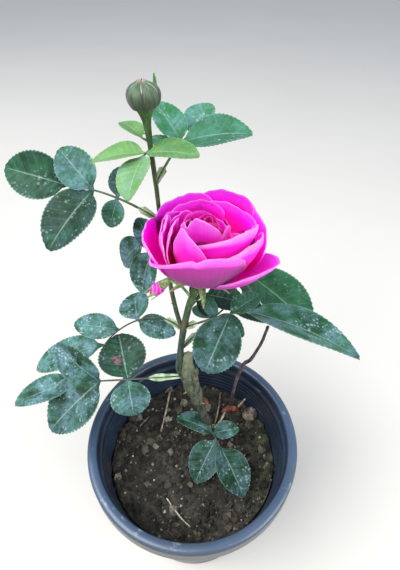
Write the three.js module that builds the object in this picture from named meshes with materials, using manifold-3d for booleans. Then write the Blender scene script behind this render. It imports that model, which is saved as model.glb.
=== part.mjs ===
// Rose bush in a nursery pot: one bloom, two buds and compound leaves on a slanting stem.
// Millimetres, Z up, origin in the middle of the pot's flat underside.
import * as THREE from 'three'
import { mergeVertices } from 'three/addons/utils/BufferGeometryUtils.js'
import Module from 'manifold-3d'

const wasm = await Module()
wasm.setup()

// Pot
const POT_HEIGHT = 110
const RIM_R = 65
const MOUTH_R = 59
const BASE_R = 45
const WALL = 2
const FLOOR = 2.4
const LIP_DROP = 11
const DRAIN_R = 4
const DRAIN_RING = 28
// Soil
const SOIL_TOP = 80
const GAP = 0.3
// Stems, each row x, y, z and radius
const MAIN_STEM = [
  [12.4, 12.9, 80.3, 3.9], [9.8, 13.8, 96, 3], [6.8, 14.6, 107.5, 2.95], [4.3, 15.3, 118, 3.1],
  [1.9, 16, 129, 4.1], [-0.7, 16.6, 139.5, 4.8], [-1.9, 17, 149.5, 4.9], [-2.3, 17, 158, 3.4],
  [-2, 17, 168.5, 2.2],
]
const YOUNG_CANE = [[-5, 17, 146, 1.9], [-7.3, 17, 155, 2], [-6.7, 17.5, 162.6, 2.15],
  [-5.9, 18.4, 173.5, 1.75], [-4.1, 20, 186.1, 1.85]]
const KNOBS = [[[-0.6, 15, 149.5, 1.7], [-0.5, 12.8, 151.3, 1.6], [-0.3, 11.6, 152, 1.1]],
  [[-0.2, 16.8, 146, 2.2], [1.8, 16.3, 151.5, 2], [2.4, 16, 155.5, 1.4]]]
const FLOWER_SHOOT = [[-4.6, 19.8, 183, 1.75], [-3, 20.6, 192.5, 1.8], [-0.6, 22.4, 203, 1.8],
  [2.6, 25.4, 211.5, 1.9]]
const BUD_SHOOT = [
  [-4.3, 19.9, 183.5, 1.25], [-7.5, 25, 193.2, 1.25], [-10.1, 32, 202, 1.2], [-11.9, 39, 209.9, 1.15],
  [-13.1, 44, 217.3, 1.1], [-14.4, 48, 226.7, 1.1], [-15.5, 51, 235.7, 1.1], [-16.5, 54, 252.5, 1.15],
  [-17.5, 55, 268, 1.25], [-18, 55.3, 275.5, 1.45], [-18.4, 55.5, 282.1, 1.9],
]
const DEAD_CANE = [
  [27.7, 36.4, 80.3, 1.5], [28.2, 36.3, 98, 1.15], [30, 36, 117.5, 1.15], [33, 35.4, 133.5, 1.25],
  [36.8, 34.6, 139.5, 1.2], [40.3, 34, 151, 0.95], [42.3, 33.5, 160, 0.9], [44.1, 33.2, 173.3, 0.85],
]
// Leaves: heading in degrees (0 to the right, 90 away), lengths in mm; `fix` trims single leaflets
const LEAVES = {
  leaf_upper_left: {
    at: [-15.5, 50.8, 234.2], az: 162, el: 30, turn: -4, droop: 38, roll: 35, len: 54, size: 30, seed: 1,
    fix: {
      L1: { scale: 0.88, splay: 24, pitch: 12, twist: -14 }, R1: { splay: 10, pitch: -25, twist: 11 },
      L2: { scale: 1.5, splay: 15, pitch: -21 }, R2: { scale: 1.06, splay: -26, pitch: -36 },
      T: { scale: 1.22, pitch: -43, twist: -14 },
    },
  },
  leaf_upper_right: {
    at: [-16.5, 54, 253], az: 53, el: 47, turn: 18, droop: 57, roll: -25, len: 38, size: 28, seed: 2,
    fix: {
      L1: { scale: 0.84, pitch: -17, twist: 9 }, R1: { scale: 0.74, splay: -29, pitch: -17 },
      L2: { scale: 1.06, splay: 9, pitch: -35, twist: -9 },
      R2: { scale: 1.48, splay: 5, pitch: -57, twist: -6 },
      T: { scale: 0.85, splay: 11, pitch: -59, twist: -28 },
    },
  },
  leaf_young: {
    at: [-17.6, 55, 269.9], az: -117, el: 7, droop: 17, len: 6, size: 25, pairs: 1, first: 0.7, seed: 3,
    fix: {
      L1: { scale: 1.28, splay: 26, pitch: -22 }, R1: { scale: 1.36, splay: -11, pitch: -12, twist: 7 },
      T: { scale: 0.94, splay: 8, pitch: -11, twist: 17 },
    },
  },
  leaf_bract: {
    at: [-17.9, 55.2, 273.5], az: 160, el: 25, droop: 10, len: 4, size: 14, pairs: 0, first: 1, seed: 4,
    fix: { T: { scale: 1.1, splay: -23, pitch: -20 } },
  },
  leaf_right: {
    at: [-4.1, 20.2, 186.6], az: -6, el: 36, turn: -6, droop: 10, roll: -30, len: 36, size: 58, seed: 5,
    first: 0.6, wide: 0.3,
    fix: {
      L1: { scale: 0.34, splay: 30, pitch: -35 }, R1: { skip: 1 },
      L2: { scale: 0.38, splay: -23, pitch: 10 }, R2: { scale: 0.72, splay: 68, wide: 1.2, twist: -28 },
      T: { scale: 1.04, splay: -18, pitch: 8, twist: -52, wide: 0.8 },
    },
  },
  leaf_mid_left: {
    at: [-4.4, 19.9, 184], az: 114, el: -12, turn: 102, droop: 30, roll: 20, len: 68, size: 30, seed: 6,
    first: 0.6,
    fix: {
      L1: { scale: 1.28, splay: 81, pitch: 12, twist: 2, wide: 0.84 },
      R1: { scale: 1.06, splay: 15, pitch: -21, twist: 11, wide: 1.47 },
      L2: { skip: 1 }, R2: { scale: 1.11, splay: -20, pitch: -36, twist: 4, wide: 0.77 },
      T: { scale: 1.76, splay: -39, pitch: -17, twist: 28, wide: 0.58, bend: 3 },
    },
  },
  leaf_low_left: {
    at: [-4, 17, 147.4], az: -172, el: 5, turn: -17, droop: 22, roll: 20, len: 68, size: 40, seed: 7,
    first: 0.5,
    fix: {
      L1: { scale: 0.91, splay: 23, pitch: 13, twist: -9, wide: 1.48 },
      R1: { scale: 1.16, splay: 10, pitch: -25, twist: 5, wide: 1.42 },
      L2: { scale: 1.21, splay: -12, pitch: -15, twist: -3, wide: 1.09 },
      R2: { scale: 1, splay: -25, pitch: -53, twist: -44, wide: 0.98 },
      T: { scale: 0.87, splay: 23, pitch: -38, twist: 15, wide: 0.78 },
    },
  },
  leaf_behind_right: {
    at: [-0.2, 22.8, 204], az: 61, el: 26, turn: -21, droop: 80, roll: -10, len: 54, size: 45, seed: 8,
    fix: {
      R1: { skip: 1 }, R2: { skip: 1 }, L1: { scale: 0.8 }, L2: { scale: 0.8 },
      T: { scale: 1.16, splay: -74, pitch: -24, twist: 42 },
    },
  },
  leaf_under_bloom: {
    at: [-1.9, 21.4, 197.5], az: 58, el: 30, turn: -20, droop: 30, roll: -20, len: 14, size: 22, seed: 11,
    pairs: 1, first: 0.6,
    fix: {
      L1: { scale: 0.67, splay: -30, pitch: -12 }, R1: { scale: 0.65, splay: 4, pitch: 11 },
      T: { scale: 1.06, splay: -40, pitch: -18 },
    },
  },
  leaf_behind_left: {
    at: [-12.2, 41.5, 213], az: 146, el: 24, turn: -24, droop: 22, roll: 20, len: 21, size: 24, seed: 9,
    pairs: 1, first: 0.6,
    fix: {
      L1: { scale: 1.39, splay: 34, pitch: 21, twist: 5 }, R1: { splay: -46, pitch: -46, twist: 22 },
      T: { scale: 1.07, splay: 63, pitch: 18, twist: -26 },
    },
  },
  leaf_near_soil: {
    at: [10.2, 14.2, 93], az: -71, el: 38, turn: 9, droop: 50, len: 20, size: 30, seed: 10,
    fix: {
      L1: { splay: -2, pitch: -21, twist: 14 }, R1: { scale: 1.43, splay: 62, pitch: -40, twist: 13 },
      L2: { skip: 1 }, R2: { scale: 1.12, pitch: 10 }, T: { pitch: -20, twist: -7 },
    },
  },
  leaf_back: {
    at: [-13.7, 46, 222], az: 35, el: 5, turn: 10, droop: 35, len: 44, size: 30, seed: 12, fix: {},
  },
  leaf_back_right: {
    at: [-5.6, 19, 170.5], az: 38, el: 28, turn: 15, droop: 40, len: 54, size: 34, seed: 13, fix: {},
  },
}
const SHEET = 0.5
const RACHIS_R = 0.8
// Bloom: petals in rings about a leaning axis; turn and spread in degrees, radii and heights in mm
const BLOOM_AT = [5.2, 27, 219]
const BLOOM_AXIS = [0.17, 0.05, 1]
const PETAL = 0.85
const PETALS = [
  { turn: -87, wide: 59, rim: 28.5, tall: 34.3, belly: 24.6, low: 0.4, point: 0.8, slant: 2.7, skew: -12.8,
    spread: -5.2, roll: 2.6 },
  { turn: -23, wide: 50, rim: 31.4, tall: 18.5, belly: 24.4, low: 1.4, point: 3.2, slant: -0.5, skew: -6.4,
    spread: 7.6 },
  { turn: 34, wide: 38, rim: 31.5, tall: 29.4, belly: 33, low: 4, curl: 2.6, point: -1.8, slant: 6.1,
    skew: 7.4, spread: 3.7, square: 0.1 },
  { turn: 78, wide: 33, rim: 30.8, tall: 34.6, belly: 38, low: 9, curl: 2, point: -1.5, slant: -2.1,
    skew: -5.5, spread: 0.6, square: 0.11 },
  { turn: 123, wide: 36, rim: 27.8, tall: 32, belly: 31.6, low: 8, curl: 2.8, point: -2.5, slant: -4.2,
    skew: -7.6, square: 0.11 },
  { turn: 178, wide: 48, rim: 28.4, tall: 26.6, belly: 32.1, low: 6.7, curl: 1.1, point: -3.1, slant: 1,
    skew: -1.6, spread: 1.4 },
  { turn: 188, wide: 32, rim: 21.1, tall: 30.4, belly: 24, low: 6.3, point: -5.2, slant: -7.5, skew: 2.9,
    spread: 2.6 },
  { turn: 192, wide: 31, rim: 16.9, tall: 29.9, belly: 24.5, low: 7, point: -2.1, slant: -6.9, skew: -0.6,
    spread: 4.4 },
  { turn: -119, wide: 35, rim: 20.4, tall: 28.7, belly: 16.6, low: 2.1, curl: 3, point: 9.4, slant: 10.7,
    skew: -9.6, spread: 4.1 },
  { turn: -46, wide: 55, rim: 21.6, tall: 33.9, belly: 28.5, low: 14.7, point: -1.9, slant: 0.8, skew: 10,
    spread: 0.7 },
  { turn: -118, wide: 71, rim: 12.7, tall: 36.1, belly: 7.6, low: 8.3, curl: 2.9, point: 4.1, slant: 3.4,
    skew: -5.4, spread: -2.2 },
  { turn: -56, wide: 68, rim: 17.8, tall: 37.4, belly: 22.1, low: 17.8, point: -0.8, slant: 1.7,
    skew: 6.6, spread: 1.6 },
  { turn: 56, wide: 47, rim: 22, tall: 32.4, belly: 29, low: 13, curl: 4, point: -1.2, slant: -0.6,
    skew: 4, square: 0.1 },
  { turn: 112, wide: 44, rim: 20, tall: 31.6, belly: 28, low: 10, curl: 2.2, point: -1, slant: -1.7,
    skew: -5, square: 0.1 },
  { turn: 150, wide: 40, rim: 16, tall: 30, belly: 20.7, low: 9, curl: 2.4, point: -2, slant: -2,
    skew: -5 },
  { turn: 0, wide: 60, rim: 15, tall: 24, belly: 18, low: 6 },
  { turn: 105, wide: 66, rim: 9, tall: 32, belly: 13, low: 9, shift: [-2, 1] },
  { turn: 215, wide: 62, rim: 8.5, tall: 31.5, belly: 13, low: 9, shift: [-3, 1] },
  { turn: -30, wide: 60, rim: 7, tall: 32, belly: 12, low: 10, shift: [-3, 1] },
  { turn: 150, wide: 80, rim: 4.5, tall: 33, belly: 10, low: 12, shift: [-4, 1] },
]

const V = (a) => new THREE.Vector3(...a)
const rad = THREE.MathUtils.degToRad

function jitter(seed, k) {
  const x = Math.sin(seed * 12.9898 + k * 78.233) * 43758.5453
  return 2 * (x - Math.floor(x)) - 1
}

function fromArrays(verts, tris) {
  const vertProperties = new Float32Array(verts)
  const solid = (t) => new wasm.Manifold(new wasm.Mesh({ numProp: 3, vertProperties,
    triVerts: new Uint32Array(t) }))
  const m = solid(tris)
  if (m.volume() > 0) return m
  const flipped = []
  for (let i = 0; i < tris.length; i += 3) flipped.push(tris[i], tris[i + 2], tris[i + 1])
  return solid(flipped)
}

function fromGeometry(geometry) {
  geometry.deleteAttribute('normal')
  geometry.deleteAttribute('uv')
  const g = mergeVertices(geometry, 1e-4)
  const index = Array.from(g.index.array)
  const keep = []
  for (let i = 0; i < index.length; i += 3) {
    const [a, b, c] = index.slice(i, i + 3)
    if (a !== b && b !== c && a !== c) keep.push(a, b, c)
  }
  return fromArrays(Array.from(g.attributes.position.array), keep)
}

// The largest outer skin of a fused shape: hollows closed off inside it are filled, loose scraps dropped.
function oneBody(m) {
  return m.decompose().sort((a, b) => b.volume() - a.volume())[0]
}

// A closed skin through equal rings of points, with a fan at each end.
function skin(rings) {
  const n = rings[0].length
  const verts = []
  const tris = []
  for (const ring of rings) for (const p of ring) verts.push(p.x, p.y, p.z)
  for (let i = 0; i + 1 < rings.length; i++) {
    for (let j = 0; j < n; j++) {
      const a = i * n + j
      const b = i * n + (j + 1) % n
      tris.push(a, b, a + n, b, b + n, a + n)
    }
  }
  for (const [row, flip] of [[0, true], [rings.length - 1, false]]) {
    const c = rings[row].reduce((s, p) => s.add(p), new THREE.Vector3()).divideScalar(n)
    const k = verts.length / 3
    verts.push(c.x, c.y, c.z)
    for (let j = 0; j < n; j++) {
      const a = row * n + j
      const b = row * n + (j + 1) % n
      tris.push(...(flip ? [b, a, k] : [a, b, k]))
    }
  }
  return fromArrays(verts, tris)
}

// A closed thin sheet between two equal grids of points.
function sheet(top, bottom) {
  const m = top.length
  const n = top[0].length
  const tris = []
  const quad = (a, b, c, d) => tris.push(a, b, c, a, c, d)
  const id = (i, j, k = 0) => (k * m + i) * n + j
  for (let i = 0; i + 1 < m; i++) {
    for (let j = 0; j + 1 < n; j++) {
      quad(id(i, j), id(i, j + 1), id(i + 1, j + 1), id(i + 1, j))
      quad(id(i, j, 1), id(i + 1, j, 1), id(i + 1, j + 1, 1), id(i, j + 1, 1))
    }
  }
  const border = []
  for (let j = 0; j < n - 1; j++) border.push(id(0, j))
  for (let i = 0; i < m - 1; i++) border.push(id(i, n - 1))
  for (let j = n - 1; j > 0; j--) border.push(id(m - 1, j))
  for (let i = m - 1; i > 0; i--) border.push(id(i, 0))
  border.forEach((p, i) => {
    const q = border[(i + 1) % border.length]
    quad(q, p, p + m * n, q + m * n)
  })
  return fromArrays([...top.flat(), ...bottom.flat()].flatMap((p) => [p.x, p.y, p.z]), tris)
}

// Rows of numbers blended smoothly, s from 0 to 1 over the whole list.
function blend(rows, s) {
  const n = rows.length - 1
  const i = Math.min(n - 1, Math.floor(s * n))
  const t = s * n - i
  const past = (end, next) => end.map((v, j) => 2 * v - next[j])
  const at = (k) => (k < 0 ? past(rows[0], rows[1]) : k > n ? past(rows[n], rows[n - 1]) : rows[k])
  const [a, b, c, d] = [at(i - 1), at(i), at(i + 1), at(i + 2)]
  return b.map((_, j) => 0.5 * (2 * b[j] + (c[j] - a[j]) * t
    + (2 * a[j] - 5 * b[j] + 4 * c[j] - d[j]) * t ** 2
    + (3 * b[j] - a[j] - 3 * c[j] + d[j]) * t ** 3))
}

// A tapering limb; `more` widens and lengthens it, which gives the room other pieces keep clear of.
function limb(rows, { steps = 20, sides = 10, more = 0, level = false } = {}) {
  const rings = []
  const middle = (s) => V(blend(rows, Math.min(1, Math.max(0, s))).slice(0, 3))
  for (let i = 0; i <= steps; i++) {
    const s = i / steps
    const p = middle(s)
    const r = blend(rows, s)[3] + more
    const q = middle(s + 0.01).sub(middle(s - 0.01)).normalize()
    if (level && i === 0) q.set(0, 0, 1)
    if (more && (i === 0 || i === steps)) p.addScaledVector(q, i ? more : -more)
    const e = new THREE.Vector3(1, 0, 0).addScaledVector(q, -q.x).normalize()
    const f = q.clone().cross(e)
    rings.push(Array.from({ length: sides }, (_, j) => {
      const a = 2 * Math.PI * j / sides
      return p.clone().addScaledVector(e, r * Math.cos(a)).addScaledVector(f, r * Math.sin(a))
    }))
  }
  return skin(rings)
}

function heading(az, el) {
  const a = rad(az)
  const e = rad(el)
  return {
    T: new THREE.Vector3(Math.cos(e) * Math.cos(a), Math.cos(e) * Math.sin(a), Math.sin(e)),
    N: new THREE.Vector3(-Math.sin(e) * Math.cos(a), -Math.sin(e) * Math.sin(a), Math.cos(e)),
    B: new THREE.Vector3(-Math.sin(a), Math.cos(a), 0),
  }
}

const mix = (a, ca, b, cb) => a.clone().multiplyScalar(ca).addScaledVector(b, cb)

// The leaf stalk: points with their own forward, upward and sideward directions.
function rachis({ at, az, el, turn = 0, droop = 0, roll = 0, len }, steps = 24) {
  const r = rad(roll)
  const p = V(at)
  const rows = []
  for (let i = 0; i <= steps; i++) {
    const s = i / steps
    const { T, N, B } = heading(az + turn * s, el - droop * s)
    rows.push({ p: p.clone(), T, N: mix(N, Math.cos(r), B, Math.sin(r)),
      S: mix(B, Math.cos(r), N, -Math.sin(r)) })
    const m = (i + 0.5) / steps
    p.addScaledVector(heading(az + turn * m, el - droop * m).T, len / steps)
  }
  return rows
}

// Leaflets in facing pairs up the stalk, one at its end, each a little different by its seed.
function leaflets(leaf) {
  const { pairs = 2, first = 0.45, seed, size, sag = 10, wide = 0.36, fix } = leaf
  const stalk = rachis(leaf)
  const n = stalk.length - 1
  const out = []
  let k = 0
  for (let j = 0; j <= pairs; j++) {
    const share = pairs ? first + (1 - first) * j / pairs : 1
    const { p, T, N, S } = stalk[Math.round(n * share)]
    for (const side of j === pairs ? [0] : [1, -1]) {
      k++
      const name = side ? (side > 0 ? 'L' : 'R') + (j + 1) : 'T'
      const { skip, scale = 1, splay = 0, pitch = 0, twist = 0, wide: broad = 1,
        bend = 0 } = fix[name] || {}
      if (skip) continue
      const grown = side ? (pairs > 1 ? 0.62 + 0.24 * j / (pairs - 1) : 0.8) : 1
      const open = rad((side ? (72 - 14 * j) * (1 + 0.06 * jitter(seed, k + 10)) : 0) + splay)
      const dip = rad(sag + 5 * jitter(seed, k + 20) + pitch)
      const along = mix(T, Math.cos(open), S, (side || 1) * Math.sin(open))
      const D = mix(along, Math.cos(dip), N, -Math.sin(dip))
      const up = mix(N, Math.cos(dip), along, Math.sin(dip))
      const E = up.clone().cross(D)
      const w = rad(twist)
      const L = size * grown * (1 + 0.05 * jitter(seed, k)) * scale
      out.push({ base: p, D, N: mix(up, Math.cos(w), E, -Math.sin(w)),
        E: mix(E, Math.cos(w), up, Math.sin(w)), L, W: L * wide * broad, bend: rad(25 + bend),
        fold: rad(15) })
    }
  }
  return out
}

// Half width of a leaflet from its foot (0) to its point (1).
const leafHalf = (x) => x ** 0.55 * (1 - x) ** 0.75 / 0.412
const sepalHalf = (x) => (1 - x) ** 0.8 * (0.75 + 0.5 * x)

// A bent, folded sheet with rounded foot and point.
function blade({ base, D, N, E, L, W, bend, fold },
  { half = leafHalf, stalk = 0.06, rows = 5, thick = 0, neck = 0.45 } = {}) {
  const t = Math.max(SHEET, 0.012 * L, thick)
  const rings = []
  for (let i = -1; i <= rows; i++) {
    const x = i < 0 ? 0 : Math.min(0.995, 0.02 + 0.98 * (i / rows) ** 1.1)
    const u = i < 0 ? 0 : stalk + (1 - stalk) * x
    const k = bend + 1e-6
    const c = base.clone().addScaledVector(D, L / k * Math.sin(k * u))
      .addScaledVector(N, -L / k * (1 - Math.cos(k * u)))
    const up = mix(N, Math.cos(k * u), D, Math.sin(k * u))
    const h = Math.max(i < 0 ? neck : 0.3, i < 0 ? 0 : W * half(x))
    const edge = (v, lift) => c.clone().addScaledVector(E, h * v * Math.cos(fold))
      .addScaledVector(up, h * Math.abs(v) * Math.sin(fold) + lift)
    rings.push([edge(1, t / 2), edge(0, t / 2), edge(-1, t / 2), edge(-1, -t / 2), edge(0, -t / 2),
      edge(1, -t / 2)])
  }
  return skin(rings)
}

function leafSolid(leaf, room) {
  const stalk = rachis(leaf, 7)
  let m = skin(stalk.map(({ p, N, S }, i) => Array.from({ length: 4 }, (_, j) => {
    const a = Math.PI * j / 2
    const r = RACHIS_R * (1 - 0.35 * i / 7)
    return p.clone().addScaledVector(S, r * Math.cos(a)).addScaledVector(N, r * Math.sin(a))
  })))
  for (const one of leaflets(leaf)) m = m.add(blade(one))
  for (const r of room) m = m.subtract(r)
  return oneBody(m)
}

// A round body about an axis from `at` towards `dir`, from its profile of radius and height.
function turned(profile, at, dir, sides = 12) {
  const g = new THREE.LatheGeometry(profile.map(([r, z]) => new THREE.Vector2(r, z)), sides)
  g.rotateX(Math.PI / 2)
  g.applyQuaternion(new THREE.Quaternion().setFromUnitVectors(new THREE.Vector3(0, 0, 1),
    V(dir).normalize()))
  g.translate(...at)
  return fromGeometry(g)
}

// Frame about an axis: two side directions and the axis itself.
function frameOf(dir) {
  const c = V(dir).normalize()
  const a = new THREE.Vector3(1, 0, 0).addScaledVector(c, -c.x).normalize()
  return { a, b: c.clone().cross(a), c }
}

function sepals(at, dir, count, { r, L, W, lean, bend, turn = 0, neck = 1, rows = 4, thick = 0 }) {
  const { a, b, c } = frameOf(dir)
  return Array.from({ length: count }, (_, i) => {
    const w = rad(turn + 360 * i / count)
    const out = mix(a, Math.cos(w), b, Math.sin(w))
    const D = mix(c, Math.cos(rad(lean)), out, Math.sin(rad(lean)))
    const N = mix(c, Math.sin(rad(lean)), out, -Math.cos(rad(lean)))
    const base = V(at).addScaledVector(out, r)
    return blade({ base, D, N, E: N.clone().cross(D), L, W, bend: rad(bend), fold: rad(10) },
      { half: sepalHalf, rows, neck, thick })
  })
}

// One petal: a curved sheet standing on the flower's middle, opening to its rim. `slant` lifts one side,
// `skew` turns the rim, `spread` opens one side more, `roll` turns the rim out and down.
function petal({ turn, wide, rim, tall, belly, low, curl = 0, point = 0, slant = 0, skew = 0, spread = 1.1,
  roll = 0, square = 0.16, shift = [0, 0] }) {
  const { a, b, c } = frameOf(BLOOM_AXIS)
  const at = V(BLOOM_AT)
  const place = (u, t, lift) => {
    const s = t * (1 - square * u * u - 0.1 * u ** 8)
    const over = Math.max(0, s - 0.7) / 0.3
    const edge = Math.max(0, t - 0.82) / 0.18
    const out = roll * (1 - 0.65 * u) * (1 - u ** 6)
    const r = (1 - s) ** 2 * 2 + 2 * s * (1 - s) * belly + s * s * rim + 0.8 * curl * over ** 2
      + spread * u * s + out * Math.sin(2.6 * edge) + lift
    const z = (1 - s) ** 2 + 2 * s * (1 - s) * low + s * s * (tall + slant * u) - 0.7 * curl * over ** 2
      + point * over * (1 - Math.abs(u)) - out * (1 - Math.cos(2.6 * edge)) - 0.35 * lift
    const w = rad(turn + skew * s * s
      + wide * u * (0.55 + 0.45 * Math.sin(Math.PI * Math.min(1, 0.12 + 0.75 * s))))
    return at.clone().addScaledVector(a, r * Math.cos(w) + shift[0] * s)
      .addScaledVector(b, r * Math.sin(w) + shift[1] * s).addScaledVector(c, z)
  }
  const across = rim > 25 ? 5 : 4
  const us = Array.from({ length: across + 1 }, (_, j) => -1 + 2 * j / across)
  const rows = [0.12, 0.38, 0.62, 0.82, ...(roll ? [0.91] : []), 1]
  const face = (lift) => rows.map((t) => us.map((u) => place(u, t, lift)))
  return sheet(face(PETAL / 2), face(-PETAL / 2))
}

function makePot() {
  const outer = (z) => BASE_R + (MOUTH_R + WALL - BASE_R) * z / POT_HEIGHT
  const lip = POT_HEIGHT - LIP_DROP
  const profile = [
    [0, 0], [BASE_R - 1.5, 0], [BASE_R, 1.5], [outer(lip - 3), lip - 3], [outer(lip + 6), lip + 6],
    [RIM_R - WALL - 0.4, lip + 7], [RIM_R - WALL, lip + 6], [RIM_R - WALL + 0.2, lip],
    [RIM_R - 0.6, lip], [RIM_R, lip + 0.6], [RIM_R, POT_HEIGHT - 2], [RIM_R - 0.8, POT_HEIGHT - 0.5],
    [RIM_R - 2, POT_HEIGHT], [MOUTH_R + 1.2, POT_HEIGHT], [MOUTH_R, POT_HEIGHT - 1],
    [MOUTH_R - 0.5, POT_HEIGHT - 8], [MOUTH_R - 1.2, POT_HEIGHT - 8.8], [outer(88) - WALL, 88],
    [outer(FLOOR) - WALL, FLOOR + 1.5], [outer(FLOOR) - WALL - 1.5, FLOOR], [0, FLOOR],
  ]
  let m = turned(profile, [0, 0, 0], [0, 0, 1], 48)
  for (let i = 0; i < 5; i++) {
    const w = 2 * Math.PI * i / 5 + 0.3
    m = m.subtract(turned([[0, -1], [DRAIN_R, -1], [DRAIN_R, FLOOR + 1], [0, FLOOR + 1]],
      [DRAIN_RING * Math.cos(w), DRAIN_RING * Math.sin(w), 0], [0, 0, 1], 12))
  }
  return oneBody(m)
}

function makeSoil() {
  const wall = (z) => BASE_R + (MOUTH_R + WALL - BASE_R) * z / POT_HEIGHT - WALL - GAP - 0.15
  const sides = 40
  const ring = (r, f) => Array.from({ length: sides }, (_, j) => {
    const w = 2 * Math.PI * j / sides
    const x = r * Math.cos(w)
    const y = r * Math.sin(w)
    return new THREE.Vector3(x, y, f(x, y, j))
  })
  const bump = (x, y, j) => {
    const off = (at, r) => Math.max(0, (Math.hypot(x - at[0], y - at[1]) - r) / 8)
    const near = Math.min(1, off([15, 14.5], 14), off(DEAD_CANE[0], 12))
    const wave = Math.sin(x * 0.21 + 1) * Math.cos(y * 0.17) * 1.3 + Math.sin(x * 0.47 - y * 0.39) * 0.7
    return SOIL_TOP + near * (wave + 0.5 * jitter(x, y))
  }
  const rings = [ring(wall(FLOOR) - 1.6, () => FLOOR + GAP), ring(wall(FLOOR + 2), () => FLOOR + 2),
    ring(wall(SOIL_TOP - 3), () => SOIL_TOP - 3)]
  for (const r of [wall(SOIL_TOP) - 0.4, 46, 36, 26, 16, 7]) rings.push(ring(r, bump))
  return skin(rings)
}

const nodes = {}
const mainStem = (more) => {
  let stem = limb(MAIN_STEM, { more, steps: 18, sides: 9, level: true })
  for (const row of [YOUNG_CANE, ...KNOBS]) {
    stem = stem.add(limb(row, { more, steps: row === YOUNG_CANE ? 8 : 3, sides: 7 }))
  }
  return stem
}
const room = {
  main: mainStem(GAP),
  flower: limb(FLOWER_SHOOT, { more: GAP }),
  bud: limb(BUD_SHOOT, { more: GAP }),
  dead: limb(DEAD_CANE, { more: GAP }),
}
nodes.pot = [makePot(), '#23272b', 0.45]
nodes.soil = [makeSoil(), '#4a3b30', 0.95]
nodes.main_stem = [oneBody(mainStem(0)), '#8a9a6a', 0.6]
nodes.dead_cane = [limb(DEAD_CANE, { steps: 11, sides: 7, level: true }), '#6a4a48', 0.7]
nodes.flower_shoot = [oneBody(limb(FLOWER_SHOOT, { steps: 8, sides: 8 }).subtract(room.main)), '#7f9a5f', 0.55]
nodes.bud_shoot = [oneBody(limb(BUD_SHOOT, { steps: 17, sides: 7 })
  .subtract(room.main).subtract(room.flower)), '#7f9c66', 0.55]

for (const [name, leaf] of Object.entries(LEAVES)) {
  const young = name === 'leaf_young' || name === 'leaf_bract'
  nodes[name] = [leafSolid(leaf, Object.values(room)), young ? '#86b46c' : '#3f6b55', 0.5]
}

const neckAt = FLOWER_SHOOT.at(-1).slice(0, 3)
const HIP_DIR = [0.3, 0.18, 1]
const hip = (more) => turned([[0, 0.4 - more], [1.9 + more, 0.4 - more], [3.6 + more, 3 - more],
  [4 + more, 5.2], [3.3 + more, 7 + more], [0, 7 + more]], neckAt, HIP_DIR)
const skirt = (more) => sepals([4.8, 26.4, 217.6], BLOOM_AXIS, 5,
  { r: 2.4 - more, L: 15 + 2 * more, W: 2.6 + more, lean: 102, bend: 22, turn: 63, neck: 1 + more,
    thick: more && SHEET + 2 * more })
let calyx = hip(0)
for (const s of skirt(0)) calyx = calyx.add(s)
nodes.bloom_calyx = [oneBody(calyx.subtract(room.flower)), '#6f9358', 0.55]

let bloom = turned([[0, -1.2], [3.6, -1.2], [5, 0.6], [8, 5], [7, 14], [3, 22], [0, 25]], BLOOM_AT,
  BLOOM_AXIS)
for (const p of PETALS) bloom = bloom.add(petal(p))
for (const s of skirt(GAP)) bloom = bloom.subtract(s)
nodes.bloom = [oneBody(bloom.subtract(hip(GAP))), '#e0109a', 0.45]

const TOP = BUD_SHOOT.at(-1).slice(0, 3)
const TOP_DIR = [-0.05, 0.02, 1]
let bud = turned([[0, 0.4], [1.9, 0.4], [2.6, 2.6], [3.7, 5], [4.3, 6.4], [5.9, 7], [6.9, 8.7], [7.2, 10.8],
  [6.9, 13], [5.8, 15], [3.8, 16.5], [1.8, 17.3], [0, 17.5]], TOP, TOP_DIR, 14)
for (const s of sepals([TOP[0], TOP[1], TOP[2] + 10], TOP_DIR, 1,
  { r: 5.8, L: 8.5, W: 2.2, lean: 16, bend: -24, turn: 45 })) bud = bud.add(s)
nodes.top_bud = [oneBody(bud.subtract(room.bud)), '#7f9a62', 0.55]

// Small pink bud on a short side stalk, hanging to the left.
const SIDE_AT = [-10.4, 26.1, 216.5]
const SIDE_DIR = [-0.73, -0.1, -0.64]
nodes.side_bud_stalk = [oneBody(limb([[0.6, 23.4, 206, 0.8], [-4.4, 24.6, 213.2, 0.75],
  [-10.4, 26.1, 216.5, 0.9]], { steps: 6, sides: 8 })
  .add(turned([[0, -0.4], [1.2, 0], [1.9, 1.4], [2.2, 3.6], [1.9, 4.3], [0, 4.3]], SIDE_AT, SIDE_DIR))
  .subtract(room.flower).subtract(room.bud).subtract(room.main)), '#7f9a62', 0.55]
nodes.side_bud = [turned([[0, 4.6], [1.6, 4.6], [3, 6.4], [3.2, 8], [2.5, 10.8], [1.5, 12.6], [0, 13.5]],
  SIDE_AT, SIDE_DIR), '#e04aa8', 0.5]

function toMesh(name, [m, color, roughness]) {
  const { vertProperties, triVerts } = m.getMesh()
  const g = new THREE.BufferGeometry()
  g.setAttribute('position', new THREE.BufferAttribute(Float32Array.from(vertProperties), 3))
  g.setIndex(new THREE.BufferAttribute(Uint32Array.from(triVerts), 1))
  g.computeVertexNormals()
  const mesh = new THREE.Mesh(g, new THREE.MeshStandardMaterial({ color, roughness, metalness: 0 }))
  mesh.name = name
  return mesh
}

const group = new THREE.Group()
for (const [name, spec] of Object.entries(nodes)) group.add(toMesh(name, spec))
export default group
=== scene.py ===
import math

import bmesh
import bpy
import numpy as np
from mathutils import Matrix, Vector, noise


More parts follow.
